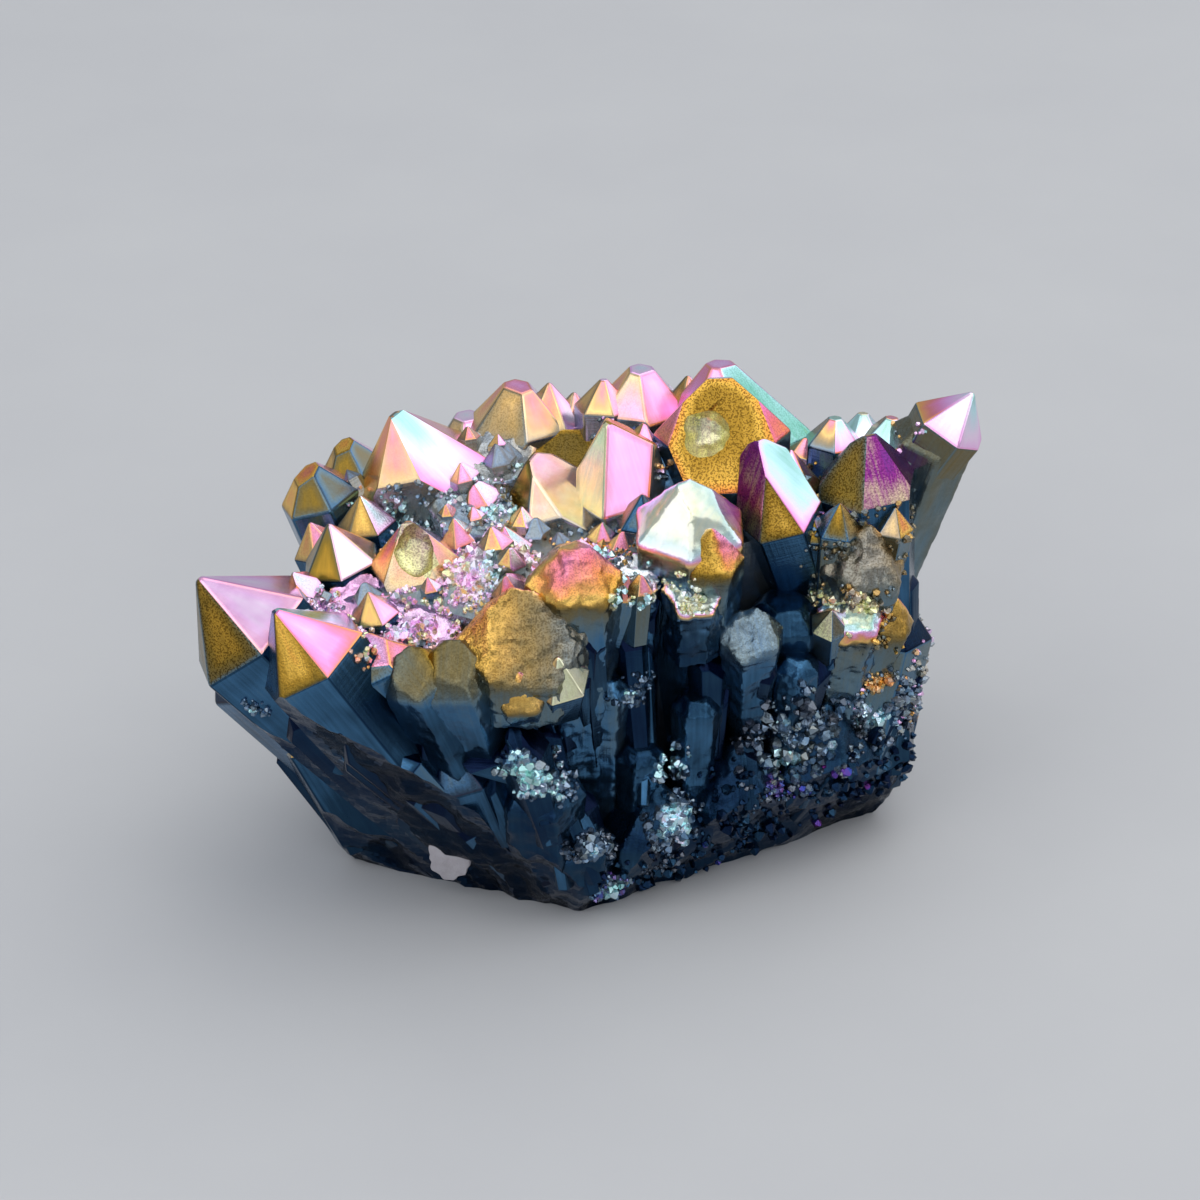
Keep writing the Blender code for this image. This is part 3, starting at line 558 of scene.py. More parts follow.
crystals["sidePoints"] = [
    crystal("T1", (15.7, -1, 25.4), 3, (290, 8), -100, 24,
            {0: (46, 22, 0, 0.5), 1: (40, 24, 0.1, 0.4), 5: (24, 20, 0, 0.3)}, side=12),
    crystal("T2", (19.2, -0.5, 24.8), 2.4, (300, 12), -100, 22,
            {0: (42, 38, 0.5, 0.2), 1: (52, 44, 0.1, 0.3), 5: (26, 22, 0, 0.4)}, side=13),
    crystal("T3", (17.5, -1.5, 24.2), 5, (300, 10), -70, 22,
            {0: (22, 21, 0.45, 0.5), 1: (24, 30, 0.2, 0.8), 5: (19, 22, 0.3, 0.6)}, rough=0.4, side=13),
    crystal("T5", (16.9, -3, 20.5), 3.8, (290, 16), -90, 20,
            {0: (88, 88, 0.7, 0.2), 1: (88, 86, 0.4, 0.4), 4: (88, 88, 0.8, 0.2), 5: (88, 87, 0.8, 0.2)},
            rough=0.45, side=12),
    crystal("T6", (19.4, -1.5, 19), 3.2, (320, 18), -80, 18,
            {0: (40, 36, 0.1, 0.6), 1: (34, 30, 0, 0.5), 5: (36, 33, 0, 0.6)}, rough=0.25, side=14),
    crystal("T7", (15.2, -4, 19.4), 2.4, (270, 24), -60, 16, {0: (28, 22, 0.15, 0.4), 5: (88, 87, 0.4, 0.4)},
            side=12),
    crystal("FR", (19.6, 1, 18.4), 5.2, (0, 9), -100, 20,
            {0: (24, 14, 0, 0.5), 1: (16, 10, 0, 0.4), 5: (20, 12, 0, 0.4)}, taper=0.85, crusted=True, side=12,
            plain=(12, 8, 0, 0.3)),
    crystal("FS", (19.2, 4.2, 12), 6.4, (20, 10), -70, 14, {0: (12, 6, 0, 0.3)}, taper=0.9, crusted=True,
            plain=(12, 8, 0, 0.3)),
]
crystals["crusts"] = [
    crystal("Y1", (-11.9, -8, 24.2), 7, (230, 8), -80, 8, {0: (58, 42, 0.3, 0.3), 5: (62, 42, 0.3, 0.3)}, crust,
            lop=(-90, 24, 4.3), lopFilm=(65, 0.5, 0.3), rough=0.6),
    crystal("Y2", (-5.8, -4.6, 25.7), 5.4, (250, 6), -95, 8, {0: (70, 44, 0.6, 0.5), 5: (70, 42, 0.6, 0.5)}, crust,
            lop=(-80, 20, 3.3), lopFilm=(70, 0.9, 0.5), rough=0.5),
    crystal("Y3", (2.6, -5.2, 24.7), 3.6, (265, 8), -70, 7, {0: (76, 41, 0.8, 0.2), 5: (18, 14, 0.2, 0.3)}, crust,
            taper=0.8, lop=(-100, 20, 2.2), lopFilm=(76, 1.2, 0.2), rough=0.5),
    crystal("Y4", (-7.6, 1.6, 26.9), 5, (180, 6), -100, 8, {0: (16, 12, 0.1, 0.2), 1: (18, 14, 0.3, 0.2)}, crust,
            lop=(-60, 18, 3.1), lopFilm=(15, 0.35, 0.3), rough=0.35),
    crystal("Y5", (-6.2, 6.2, 28.3), 5, (120, 4), -80, 8, {0: (16, 14, 0.4, 0.4)}, crust, lop=(-90, 22, 3.1),
            lopFilm=(16, 0.7, 0.5), rough=0.5),
    crystal("Y6", (-15, -4.6, 23), 4.2, (200, 14), -90, 8, {0: (60, 16, 0.3, 0.3), 5: (76, 42, 0.4, 0.2)}, crust,
            lop=(-90, 24, 2.6), lopFilm=(62, 0.5, 0.2), rough=0.45),
    crystal("Y7", (4.4, 3.6, 27.4), 4.6, (240, 4), -75, 8, {0: (14, 12, 0.1, 0.2), 1: (18, 14, 0.3, 0.2)}, crust,
            lop=(-80, 24, 2.8), lopFilm=(15, 0.3, 0.4), rough=0.4),
    crystal("Y8", (14.4, 4.6, 27.2), 4.6, (60, 4), -75, 8, {0: (16, 12, 0.1, 0.2), 1: (76, 20, 0.3, 0.2)}, crust,
            lop=(-70, 20, 2.8), lopFilm=(17, 0.4, 0.4), rough=0.4),
    crystal("Y9", (6.6, -6, 24), 3.4, (275, 6), -90, 7, {0: (88, 87, 0.7, 0.2)}, crust, taper=0.8,
            lop=(-90, 24, 2.1), lopFilm=(88, 1.2, 0.1), rough=0.5),
]
crystals["backPoints"] = [
    crystal("BK1", (-17, 10.5, 21), 5.2, (140, 24), 40, 24),
    crystal("BK2", (-11.5, 13, 22), 4.6, (110, 20), 70, 24, {0: (54, 33, 0, 0.7)}),
    crystal("BK3", (-5.5, 14, 23.2), 5.6, (95, 18), 95, 25, {0: (66, 60, 0.2), 1: (40, 36, 0.1, 0.3)}),
    crystal("BK4", (1, 14.6, 24), 4.8, (85, 18), 60, 25),
    crystal("BK5", (7.2, 14.2, 24.8), 6, (80, 16), 85, 26, {0: (78, 64, 0.2), 1: (96, 52, 0, 0.4)}),
    crystal("BK6", (13.4, 12.8, 22.8), 4.6, (65, 18), 75, 24, {0: (40, 35, 0, 0.8)}),
    crystal("BK7", (18.8, 10.8, 22.4), 5.4, (45, 20), 50, 24),
    crystal("BK8", (-8.6, 14.2, 18.4), 3.6, (105, 30), 80, 18, {0: (44, 33, 0, 0.5)}),
    crystal("BK9", (4, 15.2, 19.4), 3.8, (90, 26), 95, 18),
    crystal("BK10", (15.8, 13, 17.6), 4, (60, 28), 60, 17, {0: (20, 14, 0, 0.3)}),
    crystal("BK12", (-14.4, 11.6, 14.6), 4, (130, 34), 45, 15, {0: (18, 10, 0, 0.3)}),
]


# body and root
body = {  # facing in degrees, distance at the base in mm, flare in degrees
    "flanks": [(-112, 7.6, 6), (-59, 4.6, 3), (-10, 15.2, 6), (40, 16, 6), (95, 9.6, 12), (154, 12.6, 12),
               (200, 13.4, 8)],
    "foot": [(-112, 8.8, 30), (-59, 7.8, 30), (-20, 17.4, 24), (40, 16.6, 30), (95, 10.2, 34), (154, 13, 34),
             (200, 15.8, 36)],
    "tops": [((0, 0, 22.4), 0, 0), ((0, -5.5, 22.4), -100, 24), ((-9, 0, 22), 180, 15), ((0, 7, 22), 90, 22)],
    "footTop": 3.5,  # mm
    "backSlope": 32,  # degrees, of the top of the foot behind
    "backOut": 0.6,  # mm outside the foot where that slope starts
    "inset": 0.4,  # mm, of the foot inside the trimmed columns
    "below": -2,  # mm, where the solids end before the flat cut
    "fanRoot": (-1.6, -3.0, -5.0),  # mm, where the columns fan out from
    "wear": (0.7, 0.4, 0.12),  # mm, ridges along the fan, hollows, crumbs
    "paintedTopLight": (14, 17, 5),  # painted light: film added high up, with painted sheen in step, so the top reads lighter; from this height in mm, complete after so many more
}


def coatBlock(block, film):
    mesh = block.data
    values, places = [], []
    most, start, span = body["paintedTopLight"]
    for face in mesh.polygons:
        flat = Vector((face.normal.x, face.normal.y, 0))
        across = Vector((-flat.y, flat.x, 0)).normalized() if flat.length > 0.1 else Vector((1, 0, 0))
        for vertex in face.vertices:
            at = mesh.vertices[vertex].co
            # painted light: higher up the film grows lighter and the painted sheen stronger
            paintedTopLight = most * max(0.0, min(1.0, (at.z / mm - start) / span))
            values.extend(((film + paintedTopLight) / 100, plateauPaintedSheen * paintedTopLight / most, 0.1, 0.0))
            places.extend((across.dot(at) / mm * coatLook["uvScale"], at.z / mm * coatLook["uvScale"]))
    writeCoat(mesh, values, places)


def blockOf(name, planes, film=5):
    bpy.ops.mesh.primitive_cube_add(size=0.2, location=(0, 0, 0))
    block = bpy.context.object
    block.name = name
    mode("EDIT")
    for point, normal in planes:
        cutAway(point, normal)
    mode("OBJECT")
    coatBlock(block, film)
    return block


def flankPlanes(rows, inset=0.0):
    return [((direction(facing) * (reach - inset) + middle) * mm, direction(facing, -flare))
            for facing, reach, flare in rows]


def levelPlane(height, normal):
    return (Vector((0, 0, height * mm)), normal)


def bodySolids():
    tops = [((Vector(point) + middle) * mm, direction(facing, 90 - slope)) for point, facing, slope in body["tops"]]
    floor = [levelPlane(body["below"], zDown)]
    core = blockOf("core", flankPlanes(body["flanks"]) + tops + floor)
    lid = [levelPlane(body["footTop"], zUp)]
    for facing, reach, flare in body["foot"]:
        if facing > 0:
            out = direction(facing) * (reach + body["backOut"])
            lid.append(((out + middle) * mm, direction(facing, body["backSlope"])))
    return [core, blockOf("root", flankPlanes(body["foot"], body["inset"]) + lid + floor, 4)]


def brokenOutline():
    # the space inside the broken foot, ridged along the fan of the columns, flat below
    ends = [levelPlane(36, zUp), levelPlane(body["below"], zDown)]
    block = blockOf("brokenOutline", flankPlanes(body["foot"]) + ends)
    addRemesh(block, 0.38)
    applyAll(block)
    ridges, hollows, crumbs = body["wear"]
    outward = [vertex.normal.copy() for vertex in block.data.vertices]
    for vertex, normal in zip(block.data.vertices, outward):
        at = vertex.co / mm - middle
        away = at - Vector(body["fanRoot"])
        spread = away.normalized() * 5 + Vector((0, 0, away.length * 0.06))
        depth = ridges * (0.3 + abs(noise.noise(spread)))
        depth = depth + hollows * noise.noise(at * 0.35) + crumbs * noise.noise(at * 1.4)
        vertex.co -= normal * depth * mm
    pick(block)
    mode("EDIT")
    cutAway(Vector((0, 0, 0)), zDown)
    mode("OBJECT")
    coatBlock(block, 5)
    return block


pieces = []
outline = brokenOutline()
aboveFloor = blockOf("aboveFloor", [levelPlane(0, zDown)])
for groupName, rows in crystals.items():
    piece = growGroup(groupName, rows, bodySolids() if groupName == "frontFlank" else ())
    boolean(piece, "INTERSECT", outline)
    pieces.append(piece)
pitted = {name for name, rows in crystals.items() if any(spec["pit"] for spec in rows)}
print("crystals grown", sum(len(rows) for rows in crystals.values()))


# blades
# thin columns that lie along the flanks and fan out from the root; lengths in mm
blades = {
    "leftBlades": {"fanRoot": body["fanRoot"], "count": 80, "azimuths": (165, 262), "heights": (0.5, 17),
                   "width": (2.0, 5.0), "length": (9, 20)},
    "frontBlades": {"fanRoot": (5.0, -2.0, -30.0), "count": 60, "azimuths": (255, 345), "heights": (0.5, 19),
                    "width": (1.0, 2.8), "length": (6, 13)},
    "backBlades": {"fanRoot": (0.0, 3.0, -16.0), "count": 190, "azimuths": (-15, 170), "heights": (0.5, 18),
                   "width": (1.4, 3.8), "length": (7, 15)},
}
bladeShape = {
    "proud": (0.03, 0.11),  # share of the width that stands out
    "gap": 0.9,  # mm between the end of a blade and the surface, at most
    "calm": 1.6,  # mm around a place over which its normal is evened out
    "turned": 0.3,  # how alike its two ends must face
    "shorten": (3, 0.65),  # tries, each so much shorter, until the end meets the surface
    "most": 0.4,  # of the length, the width at most
    "darkShare": 0.75, "dark": (1, 6), "lighter": (7, 11),  # films
    "slant": (50, 72),  # degrees, of the broken end
}


def surfaceOf(shown):
    # the whole surface for ray casts, and which of its faces belong to a point
    points, faces, onPoint = [], [], []
    for piece in shown:
        coat = piece.data.attributes["coat"].data
        places = [tuple(vertex.co) for vertex in piece.data.vertices]
        found = [([places[vertex] for vertex in face.vertices], coat[face.loop_start].color[3] > 0.25)
                 for face in piece.data.polygons]
        if piece.name in pitted:
            # a carved pit gives the faces in another order each run, and rays that meet an edge would differ
            turned = [(corners.index(min(corners)), corners, isPoint) for corners, isPoint in found]
            found = sorted((corners[first:] + corners[:first], isPoint) for first, corners, isPoint in turned)
        for corners, isPoint in found:
            faces.append(list(range(len(points), len(points) + len(corners))))
            points.extend(corners)
            onPoint.append(isPoint)
    return BVHTree.FromPolygons(points, faces), onPoint


def calmNormal(tree, at, normal):
    # the way the surface faces, evened out over a few millimetres
    total = normal.copy()
    for k in range(8):
        aside = Vector((math.cos(k * 0.8), math.sin(k * 0.8), math.cos(k * 2.1))) * bladeShape["calm"] * mm
        total += tree.find_nearest(at + aside)[1]
    return total.normalized()


def bladeRow(name, values, surface, rnd):
    tree, onPoint = surface
    azimuth, height = rnd.uniform(*values["azimuths"]), rnd.uniform(*values["heights"])
    out = direction(azimuth)
    start, normal, index = tree.ray_cast((out * 40 + Vector((0, 0, height))) * mm, -out)[:3]
    if start is None or onPoint[index]:
        return None
    normal = calmNormal(tree, start, normal)
    away = (start - (Vector(values["fanRoot"]) + middle) * mm).normalized()
    along = (away - normal * away.dot(normal)).normalized()
    length = rnd.uniform(*values["length"])
    tries, shorter = bladeShape["shorten"]
    for attempt in range(tries):
        end, endNormal, endIndex, gap = tree.find_nearest(start + along * length * mm)
        if gap < bladeShape["gap"] * mm and not onPoint[endIndex] and endNormal.dot(normal) > bladeShape["turned"]:
            break
        length *= shorter
    else:
        return None
    axis = (end - start).normalized()
    width = min(rnd.uniform(*values["width"]), length * bladeShape["most"])
    tip = end - normal * width * (0.5 - rnd.uniform(*bladeShape["proud"])) * mm
    flat = axis.rotation_difference(zUp) @ normal
    outward = math.degrees(math.atan2(flat.y, flat.x))
    dark = rnd.uniform(*bladeShape["dark" if rnd.random() < bladeShape["darkShare"] else "lighter"])
    cuts = tuple(rnd.uniform(0, 0.35) * width for k in range(6))
    wedge = (outward + rnd.uniform(-35, 35), rnd.uniform(*bladeShape["slant"]), rnd.uniform(0.3, 1.0) * width)
    turn = outward + rnd.uniform(-12, 12)
    return crystal(name, tuple(tip / mm - middle), width, leanOf(axis), turn, length + 1.5, crusted=True, cuts=cuts,
                   lop=wedge, lopFilm=(dark + 2, 0, 0.1), side=dark, collar=1, plain=(dark + 3, dark, 0, 0.1))


surface = surfaceOf(pieces)
for bladeName, values in blades.items():
    rnd = random.Random(bladeName)
    rows = [bladeRow(bladeName + str(k), values, surface, rnd) for k in range(values["count"])]
    piece = growGroup(bladeName, [row for row in rows if row])
    boolean(piece, "INTERSECT", aboveFloor)
    pieces.append(piece)


# small points that fill the gaps of the plateau; lengths in mm
fillers = {"count": 230, "middle": (-0.5, 0.5), "reach": (22, 13), "heights": (17.5, 27.5), "width": (1.0, 2.5),
           "lift": (0.3, 1.5), "untidy": 0.22, "coolShare": 0.3, "cool": (13, 17)}


def fillerRow(name, surface, rnd):
    tree, onPoint = surface
    x = fillers["middle"][0] + rnd.uniform(-1, 1) * fillers["reach"][0]
    y = fillers["middle"][1] + rnd.uniform(-1, 1) * fillers["reach"][1]
    hit, normal, index = tree.ray_cast(Vector((x, y, 60)) * mm, zDown)[:3]
    low, high = fillers["heights"]
    if hit is None or onPoint[index] or not low * mm < hit.z < high * mm:
        return None
    width = rnd.uniform(*fillers["width"])
    away = (hit - (Vector(body["fanRoot"]) + middle) * mm).normalized()
    aside = Vector((rnd.uniform(-1, 1), rnd.uniform(-1, 1), 0.4)) * fillers["untidy"]
    axis = (away + aside).normalized()
    tip = hit + axis * (rnd.uniform(*fillers["lift"]) + width * 0.4) * mm
    side = rnd.uniform(10, 15)
    cuts = tuple(rnd.uniform(0, 0.2) * width for k in range(6))
    films = {}
    if rnd.random() < fillers["coolShare"]:
        cool = rnd.uniform(*fillers["cool"])
        # the cooler points get a painted highlight as well
        films = {k: (cool + 2, cool, 0.4, 0.2) for k in range(6)}
    return crystal(name, tuple(tip / mm - middle), width, leanOf(axis), rnd.uniform(0, 60), 5.0, films,
                   taper=0.8, side=side, collar=4, cuts=cuts)


for block in (outline, aboveFloor):
    bpy.data.objects.remove(block)
surface = surfaceOf(pieces)
rnd = random.Random("fillers")
rows = [fillerRow("filler" + str(k), surface, rnd) for k in range(fillers["count"])]
pieces.append(growGroup("smallPoints", [row for row in rows if row]))


# druse
druseLook = {
    "flat": 0.8,  # height of a patch against its width
    "rim": (1.25, 0.5),  # reach of the outermost grains in radii, and how uneven it is
    "past": 2.5,  # mm beyond the radius at which a hit no longer counts
    "thinner": 0.5,  # how sparse the rim is
    "outward": 0.4, "untidy": 0.55,  # how the grains stand on the surface
    "proud": (0.08, 0.42),  # of its size, how far a grain's tip stands out
    "clear": 0.4,  # mm of the floor kept free
    "drift": (0.15, 0.7, 0.6),  # first film in the middle, change to the rim, wander
}
# middle in mm, facing, radius in mm, how many, size in mm, films from the middle to the rim, painted highlight (how
# far washed toward white), grain
patches = {}
patches["topDruse"] = [
    ((-6.5, -4.5, 23), (-90, 60), 3.8, 760, (0.25, 0.85), (76, 70, 88, 70, 64, 88, 14), 0.75, 0.05),
    ((-11.5, -8.5, 21), (-90, 55), 3.8, 760, (0.25, 0.85), (66, 70, 64, 88, 46, 14), 0.65, 0.05),
    ((-6.2, 2, 23.5), (-90, 65), 3.4, 460, (0.25, 0.7), (76, 70, 17, 76, 17), 0.5, 0.05),
    ((0.6, -2.6, 23), (-90, 60), 2.8, 320, (0.25, 0.8), (76, 66, 42, 14, 17), 0.35, 0.1),
    ((-16.5, -5, 20), (-100, 60), 2.2, 200, (0.25, 0.7), (66, 70, 88, 76), 0.5, 0.1),
    ((3.6, 5, 26), (-90, 55), 3.4, 320, (0.25, 0.7), (76, 42, 66, 14, 17), 0.3, 0.1),
    ((-12, 3, 23.5), (-90, 65), 3.4, 460, (0.25, 0.7), (17, 76, 17, 76, 70), 0.5, 0.05),
    ((13.6, 2, 25), (-80, 50), 2.6, 200, (0.25, 0.7), (17, 26, 40, 64), 0.2, 0.2),
    ((18.5, 6, 25), (-70, 60), 3.2, 240, (0.25, 0.7), (17, 40, 66, 78), 0.3, 0.1),
    ((2.4, -6, 22), (-90, 30), 1.7, 160, (0.25, 0.8), (76, 88, 76, 17), 0.6, 0.1),
    ((6, -6, 21.6), (-90, 30), 1.4, 110, (0.25, 0.7), (88, 76, 88, 88), 0.8, 0.05),
]
patches["sideDruse"] = [
    ((16.8, -1, 22.2), (-80, 28), 3.2, 420, (0.25, 0.8), (18, 20, 24, 17, 34, 22), 0.2, 0.4),
    ((16.4, -3.6, 18.9), (-80, 25), 2, 260, (0.3, 1), (88, 88, 88, 30), 0.5, 0.1),
    ((19.2, -2.4, 17), (-70, 20), 1.6, 120, (0.25, 0.7), (34, 30, 22, 38), 0.1, 0.3),
    ((18.9, -2, 12.8), (-60, 25), 1.1, 70, (0.25, 0.8), (40, 41, 13), 0.4, 0.2),
    ((18, -2, 10.8), (-60, 25), 0.9, 60, (0.25, 0.7), (76, 13, 76), 0.4, 0.1),
    ((13, -4, 9.8), (-70, 35), 3.6, 460, (0.3, 1.2), (76, 17, 14, 14, 10, 6), 0.25, 0.1),
    ((18.5, -1, 10), (-40, 25), 2.6, 220, (0.25, 1), (76, 14, 17, 8, 12), 0.25, 0.1),
    ((16, -3, 6), (-60, 20), 3.4, 110, (0.3, 1), (9, 5, 3, 6, 2, 97, 4), 0, 0.1),
    ((12, -5, 3), (-60, 5), 4.4, 90, (0.3, 1), (3, 6, 2, 4, 8, 100), 0, 0.1),
    ((19, -1, 4.5), (-30, 5), 3.6, 80, (0.3, 1), (3, 6, 2, 4, 8, 2), 0, 0.1),
    ((21, 1.5, 12), (0, 20), 3.4, 300, (0.25, 0.8), (17, 21, 14, 66, 17, 44), 0.4, 0.1),
]
patches["flankDruse"] = [
    ((-3.3, -10.6, 11.6), (-90, 30), 1.7, 340, (0.3, 1.1), (76, 76, 14, 76, 12), 0.25, 0.05),
    ((-2.2, -8.8, 9.6), (-90, 30), 1.3, 130, (0.25, 0.9), (76, 14, 12, 9), 0.25, 0.05),
    ((5.2, -6.5, 9.7), (-80, 35), 1.3, 130, (0.3, 1), (76, 76, 14, 12), 0.25, 0.05),
    ((5.2, -8, 6.4), (-70, 30), 1.9, 300, (0.3, 1.1), (76, 76, 14, 14, 9), 0.25, 0.05),
    ((0, -9, 4.9), (-80, 30), 1.5, 190, (0.3, 1), (76, 14, 14, 8), 0.25, 0.05),
    ((1.4, -9, 1.8), (-75, 20), 1.3, 110, (0.25, 0.8), (76, 14, 98, 12), 0.2, 0.05),
    ((2.6, -6.6, 15.3), (-90, 20), 1.3, 90, (0.25, 0.8), (76, 14, 13, 9), 0.25, 0.05),
    ((11, -5, 7), (-60, 25), 1.6, 110, (0.2, 0.6), (97, 100, 8, 4), 0.1, 0.2),
    ((4.6, -7.4, 3.2), (-60, 15), 1.4, 90, (0.2, 0.6), (98, 12, 6, 4), 0.2, 0.2),
    ((8.5, -6, 5.5), (-60, 25), 4.2, 120, (0.3, 1), (4, 8, 3, 6, 3), 0, 0.1),
    ((5, -7, 2), (-60, 5), 4, 100, (0.3, 1), (4, 8, 3, 6, 2), 0, 0.1),
    ((-20.2, -8.6, 15.1), (-110, 20), 0.8, 60, (0.2, 0.6), (76, 14, 13), 0.25, 0.1),
]
patches["backDruse"] = [
    ((-6, 12, 12), (95, 25), 3.6, 380, (0.25, 0.9), (12, 14, 76, 8), 0.15, 0.1),
    ((9, 12, 10), (80, 25), 4, 420, (0.25, 1), (12, 14, 76, 97, 8), 0.15, 0.1),
    ((0, 12, 22), (90, 55), 4.4, 400, (0.25, 0.8), (60, 42, 66, 76, 17), 0.3, 0.1),
    ((12, 10.5, 21), (70, 50), 3.6, 300, (0.25, 0.8), (60, 42, 66, 33), 0.25, 0.2),
    ((-14, 8.5, 20), (120, 50), 3.4, 280, (0.25, 0.8), (60, 42, 33, 76), 0.25, 0.2),
    ((-15, 6, 8), (150, 15), 4, 280, (0.25, 0.8), (12, 8, 14, 100), 0.1, 0.2),
    ((15, 9, 9), (50, 15), 4, 280, (0.25, 0.8), (12, 8, 14, 97), 0.1, 0.2),
    ((-2, 11, 5), (92, 5), 5, 320, (0.2, 0.6), (4, 8, 97, 100), 0, 0.2),
]


def grainShape():
    # one small pointed crystal, modelled once; every grain is its own copy of it
    bpy.ops.mesh.primitive_cone_add(vertices=6, radius1=0.38, radius2=0.5, depth=1.2, location=(0, 0, -0.6))
    grain = bpy.context.object
    mode("EDIT")
    for k in range(6):
        cutAway(Vector((0, 0, -0.06 * (k % 3))), direction(60 * k, 90 - faceSlope))
    mode("OBJECT")
    points = np.array([vertex.co for vertex in grain.data.vertices])
    faces = [list(face.vertices) for face in grain.data.polygons]
    bpy.data.objects.remove(grain)
    return points, faces


def sowDruse(name, rows, surface, shape):
    # rim is 0 in the middle of a patch and 1 at its edge, where grains are fewer and smaller
    rnd = random.Random(name)
    uvScale = coatLook["uvScale"]
    most, uneven = druseLook["rim"]
    atMiddle, change, wander = druseLook["drift"]
    tree, onPoint = surface
    grainPoints, grainFaces = shape
    points, faces, values, places = [], [], [], []
    for centre, facing, radius, count, (smallest, largest), films, paintedGlare, grain in rows:
        out = direction(*facing)
        across = out.cross(zUp).normalized()
        up = across.cross(out)
        for number in range(count):
            angle, rim = rnd.uniform(0, math.tau), rnd.random() ** 0.7
            reach = radius * rim * (most + uneven * noise.noise((angle, radius, centre[0])))
            spot = (across * math.cos(angle) + up * druseLook["flat"] * math.sin(angle)) * reach
            start = (Vector(centre) + middle + spot + out * 20) * mm
            hit, normal, index = tree.ray_cast(start, -out)[:3]
            if hit is None or onPoint[index]:
                continue
            if (hit / mm - middle - Vector(centre)).length > radius + druseLook["past"]:
                continue
            if noise.noise(hit / mm * 0.9) < rim * druseLook["thinner"] - 0.5:
                continue
            size = (smallest + (largest - smallest) * rnd.random() ** 2 * (1.1 - 0.6 * rim)) * mm
            wild = Vector((rnd.uniform(-1, 1), rnd.uniform(-1, 1), rnd.uniform(-1, 1)))
            axis = (normal + out * druseLook["outward"] + wild * druseLook["untidy"]).normalized()
            turn = zUp.rotation_difference(axis).to_matrix() @ Matrix.Rotation(rnd.uniform(0, 1.05), 3, "Z")
            tip = hit + axis * size * rnd.uniform(*druseLook["proud"])
            if tip.z < druseLook["clear"] * mm:
                continue
            first = len(points)
            drift = atMiddle + change * rim + noise.noise(hit / mm * 0.55) * wander + rnd.uniform(-0.15, 0.15)
            film = films[int(max(0.0, min(0.999, drift)) * len(films))] + rnd.uniform(-2, 2)
            # painted highlight on each grain, varied from grain to grain
            washed = paintedGlare * rnd.uniform(0.3, 1.5)
            moved = [turn @ (Vector(point) * size) + tip for point in grainPoints]
            points.extend(moved)
            for face in grainFaces:
                faces.append([first + vertex for vertex in face])
                shade = film + rnd.uniform(-2, 2)
                for at in (moved[vertex] for vertex in face):
                    values.extend((max(0.0, shade) / 100, washed, grain, 0.0))
                    places.extend((at.x / mm * uvScale, at.z / mm * uvScale))
    mesh = bpy.data.meshes.new(name)
    mesh.from_pydata(points, [], faces)
    writeCoat(mesh, values, places)
    druse = bpy.data.objects.new(name, mesh)
    bpy.context.scene.collection.objects.link(druse)
    pick(druse)
    mode("EDIT")
    bpy.ops.mesh.select_all(action="SELECT")
    bpy.ops.mesh.normals_make_consistent(inside=False)
    mode("OBJECT")
    print(name, "grains", len(points) // len(grainPoints), "faces", len(mesh.polygons))
    return druse


surface = surfaceOf(pieces)
shape = grainShape()
for druseName, rows in patches.items():
    pieces.append(sowDruse(druseName, rows, surface, shape))


# the pale spot low on the front, where a flake came off and the quartz is bare
chip = {
    "centre": (-9.2, -9.8, 3.15), "facing": (-105, -15), "size": (1.4, 2.1), "thick": 1.1, "sunk": 0.4,  # mm
    "tilt": (0, -0.8, 0.25),  # added to the way the surface faces
    "ragged": 0.3, "lumpy": 0.06,
}


def bareChip(tree):
    out = direction(*chip["facing"])
    hit, normal = tree.ray_cast((Vector(chip["centre"]) + middle + out * 20) * mm, -out)[:2]
    bpy.ops.mesh.primitive_cylinder_add(vertices=9, radius=1.0, depth=1.0, location=(0, 0, 0))
    flake = bpy.context.object
    flake.name = "bareChip"
    mode("EDIT")
    bpy.ops.mesh.select_all(action="SELECT")
    bpy.ops.mesh.bevel(offset=0.12, segments=2, affect="EDGES", clamp_overlap=True)
    bpy.ops.mesh.select_all(action="SELECT")
    bpy.ops.mesh.subdivide(number_cuts=2)
    mode("OBJECT")
    wide, tall = chip["size"]
    flake.data.transform(Matrix.Diagonal((wide * mm, tall * mm, chip["thick"] * mm, 1)))
    for vertex in flake.data.vertices:
        ragged = 1 + chip["ragged"] * noise.noise((vertex.co.x / mm * 1.4, vertex.co.y / mm * 1.4, 3.0))
        vertex.co.x *= ragged
        vertex.co.y *= ragged
        vertex.co.z += chip["lumpy"] * mm * noise.noise(vertex.co / mm * 2.0)
    normal = (calmNormal(tree, hit, normal) + Vector(chip["tilt"])).normalized()
    level = zUp.cross(normal).normalized()
    turn = Matrix((level, normal.cross(level), normal)).transposed().to_4x4()
    flake.data.transform(Matrix.Translation(hit - normal * chip["sunk"] * mm) @ turn)
    pick(flake)
    bpy.ops.object.shade_smooth_by_angle(angle=math.radians(30))
    return flake


flake = bareChip(surface[0])
pieces.append(flake)


